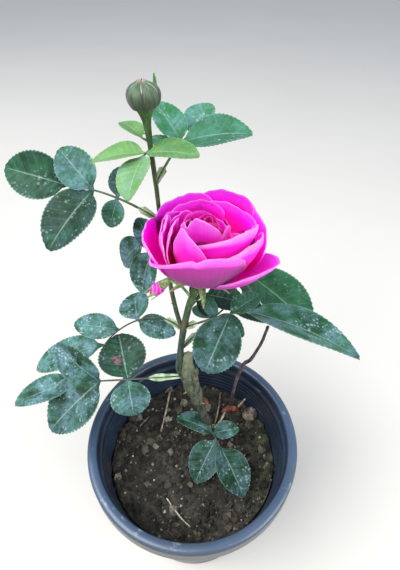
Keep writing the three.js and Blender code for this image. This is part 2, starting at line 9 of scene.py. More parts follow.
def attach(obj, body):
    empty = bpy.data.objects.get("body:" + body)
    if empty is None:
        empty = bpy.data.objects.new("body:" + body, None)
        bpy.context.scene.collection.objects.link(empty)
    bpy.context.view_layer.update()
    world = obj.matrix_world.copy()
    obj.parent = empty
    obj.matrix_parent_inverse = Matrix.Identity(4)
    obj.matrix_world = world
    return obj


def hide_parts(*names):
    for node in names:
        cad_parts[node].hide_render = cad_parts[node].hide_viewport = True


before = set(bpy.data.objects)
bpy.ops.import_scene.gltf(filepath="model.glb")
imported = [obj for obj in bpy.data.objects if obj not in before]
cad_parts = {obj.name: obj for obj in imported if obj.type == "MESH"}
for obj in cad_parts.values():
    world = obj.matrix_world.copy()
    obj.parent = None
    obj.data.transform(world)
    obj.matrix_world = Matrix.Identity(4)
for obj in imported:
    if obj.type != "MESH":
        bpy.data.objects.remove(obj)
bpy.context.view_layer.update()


# Pot
# A black nursery pot, moulded in thin plastic: a tapering wall with faint rings inside, a rounded lip
# turned down outside the wall, and five drain holes cut through the floor. One profile is revolved.
MM = 0.001
POT_HEIGHT, RIM_R, MOUTH_R, BASE_R = 110, 65, 59, 45
WALL, FLOOR, LIP_DROP = 2, 2.4, 11
DRAIN_R, DRAIN_RING, DRAINS, DRAIN_TURN = 4, 28, 5, 0.3
INNER_RING_STEP, INNER_RING_DEPTH = 3.2, 0.16
INNER_RINGS_TOP, INNER_RINGS_FOOT = 98, 78
POT_SIDES = 192


def side_frame(axis):
    """Two side directions and the unit axis itself."""
    c = np.array(axis, float) / np.linalg.norm(axis)
    a = np.array([1.0, 0, 0]) - c[0] * c
    a /= np.linalg.norm(a)
    return a, np.cross(c, a), c


def revolve(profile, sides, at=(0, 0, 0), axis=(0, 0, 1)):
    """A turned body from rows of radius and height whose first and last radius are 0."""
    a, b, c = side_frame(axis)
    verts, faces, rows = [], [], []
    for r, z in profile:
        count = 1 if r < 1e-6 else sides
        rows.append([len(verts) + j for j in range(count)])
        for j in range(count):
            w = 2 * math.pi * j / sides
            verts.append(np.array(at) + a * r * math.cos(w) + b * r * math.sin(w) + c * z)
    for low, high in zip(rows, rows[1:]):
        for j in range(sides):
            k = j + 1
            ring = [low[j % len(low)], low[k % len(low)], high[k % len(high)], high[j % len(high)]]
            faces.append(tuple(dict.fromkeys(ring)))
    return np.array(verts), faces


def piece(name, verts, faces, materials, kinds=None, uv=None, marks=None, crease=50):
    """A smooth closed mesh from millimetre points; marks are numbers kept on its points for a material."""
    mesh = bpy.data.meshes.new(name)
    mesh.from_pydata((np.asarray(verts) * MM).tolist(), [], faces)
    work = bmesh.new()
    work.from_mesh(mesh)
    bmesh.ops.recalc_face_normals(work, faces=work.faces)
    work.to_mesh(mesh)
    work.free()
    for made in materials:
        mesh.materials.append(made)
    if kinds is not None:
        mesh.polygons.foreach_set("material_index", np.array(kinds, np.int32))
    if uv is not None:
        corner = np.empty(len(mesh.loops), np.int32)
        mesh.loops.foreach_get("vertex_index", corner)
        mesh.uv_layers.new(name="UVMap").data.foreach_set("uv", np.asarray(uv, float)[corner].ravel())
    for key, values in (marks or {}).items():
        mesh.attributes.new(key, "FLOAT", "POINT").data.foreach_set("value", np.asarray(values, np.float32))
    mesh.shade_smooth()
    mesh.set_sharp_from_angle(angle=math.radians(crease))
    made = bpy.data.objects.new(name, mesh)
    bpy.context.scene.collection.objects.link(made)
    return made


def fit(obj, slot, *nodes):
    """The piece stands for its CAD solids and moves with the plant; its finish slot is not used."""
    if nodes:
        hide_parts(*nodes)
    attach(obj, "root")


def paint(code):
    """A screen colour such as #2a3b4c as the linear colour that a material takes."""
    parts = [int(code[i:i + 2], 16) / 255 for i in (1, 3, 5)]
    return tuple(((p + 0.055) / 1.055) ** 2.4 if p > 0.04045 else p / 12.92 for p in parts) + (1.0,)


def add(tree, kind, put=None, **settings):
    """One node; put gives its inputs, each a value or the socket that feeds it."""
    made = tree.nodes.new(kind)
    for key, value in settings.items():
        setattr(made, key, value)
    for key, value in (put or {}).items():
        if isinstance(value, bpy.types.NodeSocket):
            tree.links.new(value, made.inputs[key])
        else:
            made.inputs[key].default_value = value
    return made


def maths(tree, operation, *values, clamp=False):
    put = dict(enumerate(values))
    return add(tree, "ShaderNodeMath", put, operation=operation, use_clamp=clamp).outputs[0]


def times(tree, first, second, clamp=False):
    return maths(tree, "MULTIPLY", first, second, clamp=clamp)


def between(tree, value, low, high, start=0.0, end=1.0):
    """The value's smooth climb from low to high, given out from start to end."""
    put = {"Value": value, "From Min": low, "From Max": high, "To Min": start, "To Max": end}
    return add(tree, "ShaderNodeMapRange", put, interpolation_type="SMOOTHSTEP").outputs[0]


def mixed(tree, share, first, second):
    """Two colours mixed by a mask; each is a colour's code or the socket that gives it."""
    first, second = (paint(one) if isinstance(one, str) else one for one in (first, second))
    return add(tree, "ShaderNodeMix", {0: share, 6: first, 7: second}, data_type="RGBA").outputs[2]


def grain(tree, where, scale, detail=3.0, rough=0.6):
    """Plain noise over a piece, its scale in repeats a metre."""
    put = {"Vector": where, "Scale": scale, "Detail": detail, "Roughness": rough}
    return add(tree, "ShaderNodeTexNoise", put).outputs["Fac"]


def mottled(tree, where, scale, dark, light, low=0.4, high=0.65, detail=3.0):
    """Two colours in soft patches."""
    return mixed(tree, between(tree, grain(tree, where, scale, detail), low, high), dark, light)


def streaked(tree, where, *scale):
    """Coordinates drawn out along an axis, so that a pattern on them runs in streaks."""
    return add(tree, "ShaderNodeMapping", {"Vector": where, "Scale": scale}).outputs[0]


def part_of(tree, where, letter):
    """One of the three numbers of a place or a direction."""
    return add(tree, "ShaderNodeSeparateXYZ", {0: where}).outputs[letter]


def own_map(tree):
    """The piece's own map of its surface, from 0 to 1 each way."""
    return add(tree, "ShaderNodeTexCoord").outputs["UV"]


def mark(tree, key):
    """A number that the piece keeps on its points."""
    return add(tree, "ShaderNodeAttribute", attribute_name=key).outputs["Fac"]


def effect(name, inputs, outputs):
    """An empty shader node group with number inputs and outputs, its two end nodes ready."""
    tree = bpy.data.node_groups.new(name, "ShaderNodeTree")
    for key, value in inputs.items():
        socket = tree.interface.new_socket(name=key, in_out="INPUT", socket_type="NodeSocketFloat")
        socket.default_value = value
    for key in outputs:
        tree.interface.new_socket(name=key, in_out="OUTPUT", socket_type="NodeSocketFloat")
    return tree, add(tree, "NodeGroupInput"), add(tree, "NodeGroupOutput")


def place_effect(tree, group, **put):
    """A node group in a material, with the values that this finish gives it."""
    return add(tree, "ShaderNodeGroup", {k.replace("_", " "): v for k, v in put.items()}, node_tree=group)


def finish_of(name, **settings):
    """A new material, its tree, its shader and Object coordinates; settings go on the shader's sockets."""
    made = bpy.data.materials.new(name)
    made.use_nodes = True
    tree = made.node_tree
    shader = tree.nodes["Principled BSDF"]
    for key, value in settings.items():
        shader.inputs[key.replace("_", " ")].default_value = value
    return made, tree, shader, add(tree, "ShaderNodeTexCoord").outputs["Object"]


def coat(tree, shader, colour):
    tree.links.new(colour, shader.inputs["Base Color"])


def relief(tree, shader, height, depth, strength=1.0):
    """Height drives the shader's normal, depth in metres."""
    bump = add(tree, "ShaderNodeBump", {"Height": height, "Distance": depth, "Strength": strength})
    tree.links.new(bump.outputs[0], shader.inputs["Normal"])


# Fine dirt that settles in patches on plastic and bark
soiling, ends_in, ends_out = effect(
    "settled_dirt", {"Patch Scale": 30.0, "Speck Scale": 900.0, "Amount": 0.4}, ["Mask"])
spot = add(soiling, "ShaderNodeTexCoord").outputs["Object"]
patch = between(soiling, grain(soiling, spot, ends_in.outputs["Patch Scale"]), 0.42, 0.72)
speck = between(soiling, grain(soiling, spot, ends_in.outputs["Speck Scale"], 2.0), 0.5, 0.7)
soil_mask = maths(soiling, "MULTIPLY_ADD", speck, patch, times(soiling, patch, 0.35))
soil_mask = times(soiling, soil_mask, ends_in.outputs["Amount"], clamp=True)
soiling.links.new(soil_mask, ends_out.inputs["Mask"])

pot_plastic, tree, shader, spot = finish_of("pot_plastic", Roughness=0.36, Specular_IOR_Level=0.6)
dirt = place_effect(tree, soiling, Patch_Scale=38.0, Speck_Scale=1100.0, Amount=0.6).outputs["Mask"]
height_of = part_of(tree, spot, "Z")
splash = times(tree, between(tree, height_of, 0.101, 0.082), 0.7)
worn = between(tree, grain(tree, spot, 24.0), 0.35, 0.7)
# Painted sky reflection: both plastic colours are cast blue, and faces that look up are mixed towards a
# paler blue.
plastic = mixed(tree, worn, "#161d27", "#26344a")
facing_up = part_of(tree, add(tree, "ShaderNodeNewGeometry").outputs["Normal"], "Z")
plastic = mixed(tree, between(tree, facing_up, 0.1, 0.9, 0.0, 0.36), plastic, "#5a7594")
# Pale streaks on faces that look up: scratches, with a painted sky glint on them.
scuffs_and_glints = between(tree, grain(tree, streaked(tree, spot, 1, 1, 4), 120.0, 6.0), 0.6, 0.7, 0.0, 0.5)
plastic = mixed(tree, times(tree, scuffs_and_glints, facing_up, clamp=True), plastic, "#a9b7c4")
dirt = times(tree, dirt, maths(tree, "ADD", splash, 0.35), clamp=True)
coat(tree, shader, mixed(tree, dirt, plastic, "#5d5246"))
dull = between(tree, maths(tree, "ADD", dirt, times(tree, worn, 0.2)), 0.0, 0.9, 0.3, 0.75)
tree.links.new(dull, shader.inputs["Roughness"])
scratch = grain(tree, streaked(tree, spot, 1, 1, 14), 90.0)
relief(tree, shader, maths(tree, "ADD", scratch, dirt), 0.00015, 0.5)


def wall_r(z):
    return BASE_R + (MOUTH_R + WALL - BASE_R) * z / POT_HEIGHT


lip = POT_HEIGHT - LIP_DROP
outside = [(0, 0), (BASE_R - 3, 0), (BASE_R - 1.5, 0), (BASE_R - 0.5, 0.5), (BASE_R, 1.5)]
outside += [(wall_r(z), z) for z in np.linspace(4, lip - 3, 24)]
outside += [(wall_r(lip + 4), lip + 4), (wall_r(lip + 6), lip + 6), (RIM_R - WALL - 0.4, lip + 7),
            (RIM_R - WALL, lip + 6), (RIM_R - WALL + 0.2, lip), (RIM_R - 0.6, lip), (RIM_R, lip + 0.6)]
lip_top = [(RIM_R - 0.1, POT_HEIGHT - 4), (RIM_R, POT_HEIGHT - 2.2), (RIM_R - 0.3, POT_HEIGHT - 1.2),
           (RIM_R - 1, POT_HEIGHT - 0.4), (RIM_R - 2.2, POT_HEIGHT), (MOUTH_R + 2.2, POT_HEIGHT - 0.1),
           (MOUTH_R + 0.9, POT_HEIGHT - 0.5), (MOUTH_R + 0.1, POT_HEIGHT - 1.5),
           (MOUTH_R - 0.3, POT_HEIGHT - 5), (MOUTH_R - 0.5, POT_HEIGHT - 8),
           (MOUTH_R - 1.2, POT_HEIGHT - 8.8)]
inside = [(wall_r(z) - WALL + INNER_RING_DEPTH * math.sin(2 * math.pi * z / INNER_RING_STEP), z)
          for z in np.arange(INNER_RINGS_TOP, INNER_RINGS_FOOT, -INNER_RING_STEP / 8)]
inside += [(wall_r(FLOOR) - WALL, FLOOR + 1.5), (wall_r(FLOOR) - WALL - 1.5, FLOOR), (0, FLOOR)]
pot = piece("nursery_pot", *revolve(outside + lip_top + inside, POT_SIDES), [pot_plastic], crease=40)
for i in range(DRAINS):
    w = 2 * math.pi * i / DRAINS + DRAIN_TURN
    middle = (DRAIN_RING * math.cos(w), DRAIN_RING * math.sin(w), 0)
    drill = [(0, -1), (DRAIN_R, -1), (DRAIN_R, FLOOR + 1), (0, FLOOR + 1)]
    drill = piece("drain_drill", *revolve(drill, 32, at=middle), [pot_plastic])
    cut = pot.modifiers.new("drain", "BOOLEAN")
    cut.operation, cut.object = "DIFFERENCE", drill
    pot.data = bpy.data.meshes.new_from_object(pot.evaluated_get(bpy.context.evaluated_depsgraph_get()))
    pot.modifiers.remove(cut)
    bpy.data.objects.remove(drill)
pot.data.name = "nursery_pot"
fit(pot, "pot", "pot")


# Soil
# Dark potting soil, filled to 30 mm under the rim and settled into low waves that stay level round the
# stems. Crumbs and small stones are scattered over it and pressed halfway in.
SOIL_TOP, GAP = 80, 0.3
STEM_FEET = [(15, 14.5, 14), (27.7, 36.4, 12)]
STONES = {"Density": 15000.0, "Smallest": 0.0008, "Largest": 0.003, "Seed": 4, "Lumps": 0.0068,
          "Roundness": 2}
CRUMBS = {"Density": 150000.0, "Smallest": 0.0004, "Largest": 0.0012, "Seed": 9, "Lumps": 0.0012,
          "Roundness": 1}
LEVEL_FACE = 0.6
ANY_TURN = (6.3, 6.3, 6.3)
# The width over which the level soil at a stem's foot eases off, and layer, scale and rise of two noises
FOOT_EASE = 8
SOIL_LUMPS = [(3, 0.22, 1.3), (7, 0.7, 0.6)]
SOIL_TURN_STEPS, SOIL_RINGS = 160, 48


def skin(rings):
    """A closed body over rings of points, its two ends closed on their middles."""
    rings = np.asarray(rings)
    n, m = rings.shape[:2]
    faces = [(i * m + j, i * m + (j + 1) % m, (i + 1) * m + (j + 1) % m, (i + 1) * m + j)
             for i in range(n - 1) for j in range(m)]
    faces += [((j + 1) % m, j, n * m) for j in range(m)]
    faces += [((n - 1) * m + j, (n - 1) * m + (j + 1) % m, n * m + 1) for j in range(m)]
    return np.vstack([rings.reshape(-1, 3), rings[0].mean(0), rings[-1].mean(0)]), faces


def soil_height(x, y):
    """Low waves and lumps, which fade out round the stems, and a fine unevenness all over."""
    away = [max(0, (math.hypot(x - fx, y - fy) - flat) / FOOT_EASE) for fx, fy, flat in STEM_FEET]
    wave = math.sin(x * 0.21 + 1) * math.cos(y * 0.17) * 1.3 + math.sin(x * 0.47 - y * 0.39) * 0.7
    lumps = sum(noise.noise(Vector((x, y, layer)) * scale) * rise for layer, scale, rise in SOIL_LUMPS)
    fine = 0.3 * noise.noise(Vector((x, y, 11)) * 1.6)
    return SOIL_TOP + min(1, *away) * (wave + lumps) + fine


def soil_ring(r, height):
    turns = [2 * math.pi * j / SOIL_TURN_STEPS for j in range(SOIL_TURN_STEPS)]
    ring = [(r * math.cos(w), r * math.sin(w)) for w in turns]
    return [(x, y, height(x, y)) for x, y in ring]


soil_wall = [wall_r(z) - WALL - GAP - 0.2 for z in (FLOOR, FLOOR + 2, SOIL_TOP - 3, SOIL_TOP)]
rings = [soil_ring(soil_wall[0] - 1.6, lambda x, y: FLOOR + GAP),
         soil_ring(soil_wall[1], lambda x, y: FLOOR + 2),
         soil_ring(soil_wall[2], lambda x, y: SOIL_TOP - 3)]
rings += [soil_ring(r, soil_height) for r in np.linspace(soil_wall[3] - 0.5, 1, SOIL_RINGS)]

potting_soil, tree, shader, spot = finish_of("potting_soil", Roughness=0.95)
clods = grain(tree, spot, 220.0, 6.0, 0.7)
damp = between(tree, grain(tree, spot, 45.0), 0.4, 0.65)
earth = mixed(tree, between(tree, clods, 0.35, 0.68), "#131210", "#48453b")
earth = mixed(tree, times(tree, damp, 0.7), earth, "#26241d")
moss_side = between(tree, part_of(tree, spot, "X"), 0.02, 0.055)
moss = times(tree, between(tree, grain(tree, spot, 130.0, 4.0), 0.5, 0.64), moss_side)
coat(tree, shader, mixed(tree, times(tree, moss, 0.55), earth, "#4a5a2c"))
relief(tree, shader, clods, 0.0012)


def banded(tree, value, *stops, steps=False):
    """Colours in order of a value from 0 to 1, run together or in plain steps."""
    made = add(tree, "ShaderNodeValToRGB", {"Fac": value})
    ramp = made.color_ramp
    ramp.interpolation = "CONSTANT" if steps else "LINEAR"
    for at, code in stops[1:-1]:
        ramp.elements.new(at).color = paint(code)
    ramp.elements[0].color = paint(stops[0][1])
    ramp.elements[-1].color = paint(stops[-1][1])
    return made.outputs["Color"]


soil_bits, tree, shader, spot = finish_of("soil_bits", Roughness=0.9)
bits = banded(tree, mark(tree, "tone"), (0, "#191712"), (0.3, "#2b2822"), (0.55, "#3f3b31"),
              (0.75, "#5a5548"), (0.9, "#7d786b"), (0.97, "#aaa698"), (1, "#aaa698"), steps=True)
pits = grain(tree, spot, 700.0, 4.0)
coat(tree, shader, mixed(tree, between(tree, pits, 0.4, 0.7, 0.0, 0.5), bits, "#211e18"))
relief(tree, shader, pits, 0.0004)

soil = piece("soil_bed", *skin(rings), [potting_soil], crease=80)


def grower(name, result, **inputs):
    """An empty Geometry Nodes tree with its named inputs, which are given back ready, and its result."""
    tree = bpy.data.node_groups.new(name, "GeometryNodeTree")
    for key, kind in inputs.items():
        tree.interface.new_socket(name=key, in_out="INPUT", socket_type="NodeSocket" + kind)
    tree.interface.new_socket(name=result, in_out="OUTPUT", socket_type="NodeSocketGeometry")
    return tree, add(tree, "NodeGroupInput").outputs


def finished(tree, result, shapes, material):
    """The end of a tree: its shapes, already made real, take their material and come out."""
    put = {"Geometry": shapes, "Material": material}
    add(tree, "NodeGroupOutput", {result: add(tree, "GeometryNodeSetMaterial", put).outputs[0]})


crumb_tree, given = grower("scattered_crumbs", "Crumbs", Ground="Geometry", Density="Float",
                           Smallest="Float", Largest="Float", Lumps="Float", Seed="Int",
                           Roundness="Int", Finish="Material")
facing_up = part_of(crumb_tree, add(crumb_tree, "GeometryNodeInputNormal").outputs[0], "Z")
level = add(crumb_tree, "FunctionNodeCompare", {0: facing_up, 1: LEVEL_FACE},
            operation="GREATER_THAN").outputs[0]
points = add(crumb_tree, "GeometryNodeDistributePointsOnFaces",
             {"Mesh": given["Ground"], "Selection": level, "Density": given["Density"],
              "Seed": given["Seed"]})
ball = add(crumb_tree, "GeometryNodeMeshIcoSphere", {"Radius": 1.0, "Subdivisions": given["Roundness"]})
size = add(crumb_tree, "FunctionNodeRandomValue",
           {2: given["Smallest"], 3: given["Largest"], "Seed": given["Seed"]})
turn = add(crumb_tree, "FunctionNodeRandomValue", {0: (0, 0, 0), 1: ANY_TURN}, data_type="FLOAT_VECTOR")
crumbs = add(crumb_tree, "GeometryNodeInstanceOnPoints",
             {"Points": points.outputs["Points"], "Instance": ball.outputs["Mesh"],
              "Rotation": turn.outputs[0], "Scale": size.outputs[1]}).outputs[0]
shade = add(crumb_tree, "FunctionNodeRandomValue", {2: 0.0, 3: 1.0, "Seed": 3}).outputs[1]
crumbs = add(crumb_tree, "GeometryNodeStoreNamedAttribute",
             {"Geometry": crumbs, "Name": "tone", "Value": shade},
             data_type="FLOAT", domain="INSTANCE").outputs[0]
crumbs = add(crumb_tree, "GeometryNodeRealizeInstances", {"Geometry": crumbs}).outputs[0]
dents = add(crumb_tree, "ShaderNodeTexNoise", {"Scale": 330.0, "Detail": 2.0}).outputs["Color"]
dents = add(crumb_tree, "ShaderNodeVectorMath", {0: dents, 1: (0.5, 0.5, 0.5)},
            operation="SUBTRACT").outputs[0]
dents = add(crumb_tree, "ShaderNodeVectorMath", {0: dents, "Scale": given["Lumps"]},
            operation="SCALE").outputs[0]
crumbs = add(crumb_tree, "GeometryNodeSetPosition", {"Geometry": crumbs, "Offset": dents}).outputs[0]
finished(crumb_tree, "Crumbs", crumbs, given["Finish"])


def grown(source, tree, **sizes):
    """What a tree makes over a source piece, as a plain mesh of its own."""
    live = source.modifiers.new(tree.name, "NODES")
    live.node_group = tree
    for item in tree.interface.items_tree:
        if item.in_out == "INPUT" and item.name in sizes:
            live[item.identifier] = sizes[item.name]
    made = bpy.data.meshes.new_from_object(source.evaluated_get(bpy.context.evaluated_depsgraph_get()))
    source.modifiers.remove(live)
    return made


def as_piece(name, mesh):
    mesh.name = name
    made = bpy.data.objects.new(name, mesh)
    bpy.context.scene.collection.objects.link(made)
    return made


for name, sizes in [("soil_stones", STONES), ("soil_crumbs", CRUMBS)]:
    fit(as_piece(name, grown(soil, crumb_tree, Finish=soil_bits, **sizes)), "soil")
fit(soil, "soil", "soil")


# Stems
# The slanting old cane, which widens to a knot and ends above it in a cut dry stub, the young green cane
# that leaves the knot on the left, the green shoots that carry the bloom and the top bud, and a dead
# brown cane beside them. Each is a tapering limb with bark relief.
# Rows of x, y, z and radius
MAIN_STEM = [(12.4, 12.9, 80.3, 3.9), (9.8, 13.8, 96, 3), (6.8, 14.6, 107.5, 2.95), (4.3, 15.3, 118, 3.1),
             (1.9, 16, 129, 4.1), (-0.7, 16.6, 139.5, 4.8), (-1.9, 17, 149.5, 4.9), (-2.3, 17, 158, 3.4),
             (-2, 17, 168.5, 2.2)]
KNOBS = [[(-0.6, 15, 149.5, 1.7), (-0.5, 12.8, 151.3, 1.6), (-0.3, 11.6, 152, 1.1)],
         [(-0.2, 16.8, 146, 2.2), (1.8, 16.3, 151.5, 2), (2.4, 16, 155.5, 1.4)]]
YOUNG_CANE = [(-5, 17, 146, 1.9), (-7.3, 17, 155, 2), (-6.7, 17.5, 162.6, 2.15), (-5.9, 18.4, 173.5, 1.75),
              (-4.1, 20, 186.1, 1.85)]
FLOWER_SHOOT = [(-4.6, 19.8, 183, 1.75), (-3, 20.6, 192.5, 1.8), (-0.6, 22.4, 203, 1.8),
                (2.6, 25.4, 211.5, 1.9)]
BUD_SHOOT = [(-4.3, 19.9, 183.5, 1.25), (-7.5, 25, 193.2, 1.25), (-10.1, 32, 202, 1.2),
             (-11.9, 39, 209.9, 1.15), (-13.1, 44, 217.3, 1.1), (-14.4, 48, 226.7, 1.1),
             (-15.5, 51, 235.7, 1.1), (-16.5, 54, 252.5, 1.15), (-17.5, 55, 268, 1.25),
             (-18, 55.3, 275.5, 1.45), (-18.4, 55.5, 282.1, 1.9)]
DEAD_CANE = [(27.7, 36.4, 80.3, 1.5), (28.2, 36.3, 98, 1.15), (30, 36, 117.5, 1.15),
             (33, 35.4, 133.5, 1.25), (36.8, 34.6, 139.5, 1.2), (40.3, 34, 151, 0.95),
             (42.3, 33.5, 160, 0.9), (44.1, 33.2, 173.3, 0.85)]


def blend(rows, s):
    """Rows of numbers blended smoothly, s from 0 to 1 over the whole list."""
    rows = np.array(rows, float)
    rows = np.vstack([2 * rows[0] - rows[1], rows, 2 * rows[-1] - rows[-2]])
    n = len(rows) - 3
    i = min(n - 1, int(s * n))
    t = s * n - i
    a, b, c, d = rows[i:i + 4]
    start = 2 * b + (c - a) * t + (2 * a - 5 * b + 4 * c - d) * t ** 2
    return 0.5 * (start + (3 * b - a - 3 * c + d) * t ** 3)


def limb(rows, steps, sides, bark=0.0, grooves=0.0, level=False):
    """A tapering limb; bark is the depth of its uneven skin and grooves that of its lengthwise furrows."""
    rings = []
    for i in range(steps + 1):
        s = i / steps
        x, y, z, r = blend(rows, s)
        q = blend(rows, min(1, s + 0.01))[:3] - blend(rows, max(0, s - 0.01))[:3]
        a, b, _ = side_frame((0, 0, 1) if level and i == 0 else q)
        ring = []
        for j in range(sides):
            w = 2 * math.pi * j / sides
            out = a * math.cos(w) + b * math.sin(w)
            rough = noise.noise(Vector((x, y, z)) * 0.35 + Vector(out) * 1.4)
            furrow = noise.noise(Vector((3 * math.cos(w), 3 * math.sin(w), z * 0.06)))
            ring.append(np.array([x, y, z]) + out * (r + bark * rough + grooves * furrow))
        rings.append(ring)
    return skin(rings)


class Gathered:
    """Closed shapes put together before they become one piece, with what their materials read."""

    def __init__(self):
        self.verts, self.faces, self.kinds, self.uv, self.marks = [], [], [], [], {}

    def take(self, verts, faces, kind=0, uv=None, **marks):
        start, count = sum(len(v) for v in self.verts), len(verts)
        self.faces += [tuple(k + start for k in f) for f in faces]
        self.kinds += [kind] * len(faces)
        self.uv.append(np.zeros((count, 2)) if uv is None else uv)
        for key in {*self.marks, *marks}:
            past = self.marks.get(key, np.zeros(start))
            self.marks[key] = np.concatenate([past, np.broadcast_to(marks.get(key, 0.0), count)])
        self.verts.append(verts)

    def piece(self, name, materials, crease=50):
        verts, uv = np.vstack(self.verts), np.vstack(self.uv)
        return piece(name, verts, self.faces, materials, self.kinds, uv, self.marks, crease)


old_bark, tree, shader, spot = finish_of("old_bark", Roughness=0.7)
height_of = part_of(tree, spot, "Z")
strands = grain(tree, streaked(tree, spot, 1, 1, 0.22), 620.0, 4.0)
green = mixed(tree, between(tree, strands, 0.35, 0.7), "#1e2a1a", "#42543a")
wood = mixed(tree, between(tree, strands, 0.35, 0.7), "#24221c", "#4a483e")
woody = between(tree, maths(tree, "ADD", height_of, times(tree, strands, 0.03)), 0.16, 0.11)
bark = mixed(tree, woody, green, wood)
knot = times(tree, between(tree, height_of, 0.108, 0.132), between(tree, strands, 0.38, 0.6))
bark = mixed(tree, times(tree, knot, 0.6), bark, "#565c4a")
scar = times(tree, between(tree, height_of, 0.105, 0.14), between(tree, grain(tree, spot, 150.0), 0.5, 0.66))
bark = mixed(tree, times(tree, scar, 0.45), bark, "#848270")
bark = mixed(tree, between(tree, height_of, 0.15, 0.166, 0.0, 0.6), bark, "#8a8e70")
# Painted shade: the furrows of the bark relief are darkened.
bark = mixed(tree, between(tree, strands, 0.4, 0.3, 0.0, 0.75), bark, "#20211b")
dirt = place_effect(tree, soiling, Patch_Scale=90.0, Speck_Scale=1500.0, Amount=0.4).outputs["Mask"]
coat(tree, shader, mixed(tree, dirt, bark, "#6e6a5e"))
relief(tree, shader, strands, 0.0006)

green_bark, tree, shader, spot = finish_of("green_bark", Roughness=0.48, Specular_IOR_Level=0.4)
strands = grain(tree, streaked(tree, spot, 1, 1, 0.15), 900.0, 2.0)
fresh = mixed(tree, between(tree, strands, 0.3, 0.7), "#20341a", "#42602f")
aged = between(tree, part_of(tree, spot, "Z"), 0.215, 0.175)
fresh = mixed(tree, aged, fresh, mixed(tree, between(tree, strands, 0.3, 0.7), "#1f2d22", "#40544a"))
blush = between(tree, grain(tree, spot, 60.0), 0.52, 0.7, 0.0, 0.35)
coat(tree, shader, mixed(tree, blush, fresh, "#7a5a40"))
relief(tree, shader, strands, 0.0002)

dead_bark, tree, shader, spot = finish_of("dead_bark", Roughness=0.75)
strands = grain(tree, streaked(tree, spot, 1, 1, 0.2), 700.0, 5.0)
dry = mixed(tree, between(tree, strands, 0.35, 0.7), "#31252a", "#6c5a60")
coat(tree, shader, mixed(tree, between(tree, grain(tree, spot, 110.0), 0.5, 0.66, 0.0, 0.5), dry, "#8c7c7a"))
relief(tree, shader, strands, 0.0004)

old_stem = Gathered()
old_stem.take(*limb(MAIN_STEM, 150, 28, bark=0.35, grooves=0.45, level=True))
for knob in KNOBS:
    old_stem.take(*limb(knob, 16, 14, bark=0.3, grooves=0.2))
old_stem.take(*limb(YOUNG_CANE, 60, 20, bark=0.05, grooves=0.12), kind=1)
old_stem = old_stem.piece("old_stem", [old_bark, green_bark], crease=60)
dead_cane = limb(DEAD_CANE, 120, 14, bark=0.14, grooves=0.12, level=True)
dead_cane = piece("dead_cane_bark", *dead_cane, [dead_bark], crease=60)
flower_shoot = piece("flower_shoot_bark", *limb(FLOWER_SHOOT, 40, 18, bark=0.05, grooves=0.12), [green_bark])
bud_shoot = piece("bud_shoot_bark", *limb(BUD_SHOOT, 140, 14, bark=0.05, grooves=0.08), [green_bark])

# Prickles: small cones, set over the bark and standing out from it
PRICKLE_DENSITY, PRICKLE_GAP = 9000.0, 0.011
PRICKLE_FOOT_SHARE, PRICKLE_TIP_R = 0.32, 0.00004
prickle_tree, given = grower("prickles", "Prickles", Bark="Geometry", Density="Float", Apart="Float",
                             Length="Float", Seed="Int", Finish="Material")
points = add(prickle_tree, "GeometryNodeDistributePointsOnFaces",
             {"Mesh": given["Bark"], "Distance Min": given["Apart"], "Density Max": given["Density"],
              "Seed": given["Seed"]}, distribute_method="POISSON")
base = times(prickle_tree, given["Length"], PRICKLE_FOOT_SHARE)
spike = add(prickle_tree, "GeometryNodeMeshCone",
            {"Vertices": 10, "Side Segments": 5, "Radius Top": PRICKLE_TIP_R, "Radius Bottom": base,
             "Depth": given["Length"]}).outputs["Mesh"]
spiked = add(prickle_tree, "GeometryNodeInstanceOnPoints",
             {"Points": points.outputs["Points"], "Instance": spike,
              "Rotation": points.outputs["Rotation"]}).outputs[0]
spiked = add(prickle_tree, "GeometryNodeRealizeInstances", {"Geometry": spiked}).outputs[0]
finished(prickle_tree, "Prickles", spiked, given["Finish"])

prickle_horn, tree, shader, spot = finish_of("prickle_horn", Roughness=0.45)
coat(tree, shader, mottled(tree, spot, 400.0, "#6b5238", "#94855a"))
for name, bark, length, seed, slot in [("old_stem_prickles", old_stem, 0.0024, 5, "old_stem"),
                                       ("bud_shoot_prickles", bud_shoot, 0.0015, 2, "green_shoot")]:
    prickles = grown(bark, prickle_tree, Density=PRICKLE_DENSITY, Apart=PRICKLE_GAP, Length=length,
                     Seed=seed, Finish=prickle_horn)
    fit(as_piece(name, prickles), slot)
fit(old_stem, "old_stem", "main_stem")
fit(dead_cane, "dead_wood", "dead_cane")
fit(flower_shoot, "green_shoot", "flower_shoot")
fit(bud_shoot, "green_shoot", "bud_shoot")


# Litter on the soil
# A pale straw stalk, a dry stick, a curled rust-brown stipule, a few dry flakes and one grey clod that
# lie on the soil beside the stems. Each is a short limb pressed a little into the crumbs.
LITTER = [
    ([(-18.3, 47, 81.6, 0.7), (-20, 32, 82, 0.65), (-22.8, 15.9, 81.4, 0.5)], 0),
    ([(20.1, 46, 82.4, 0.5), (18.5, 34, 84, 0.55), (15.4, 21.5, 81.2, 0.5)], 1),
    ([(20.8, 30.5, 81.6, 1.2), (24.5, 32.2, 83.4, 2), (29, 32.6, 83.6, 2.1), (32.8, 31.5, 81.8, 1.2)], 2),
    ([(23, 30.5, 82, 0.7), (20.5, 25, 83.5, 0.8), (17.5, 20.5, 83, 0.7), (13.9, 18.2, 82, 0.5)], 0),
    ([(4.8, 41, 82, 1.3), (8.5, 39.5, 83, 1.9), (10.5, 36.5, 82.4, 1.3)], 2),
    ([(32.7, 34.6, 82, 0.8), (39, 41, 83.5, 0.7)], 0),
    ([(-16, -28, 81, 0.4), (-8, -38, 82, 0.4), (-1, -44, 81.2, 0.3)], 0),
    ([(-38, 20, 81.4, 0.6), (-32, 27, 82, 0.5)], 1), ([(33, -8, 81, 0.7), (38, -3, 81.8, 0.5)], 1),
]
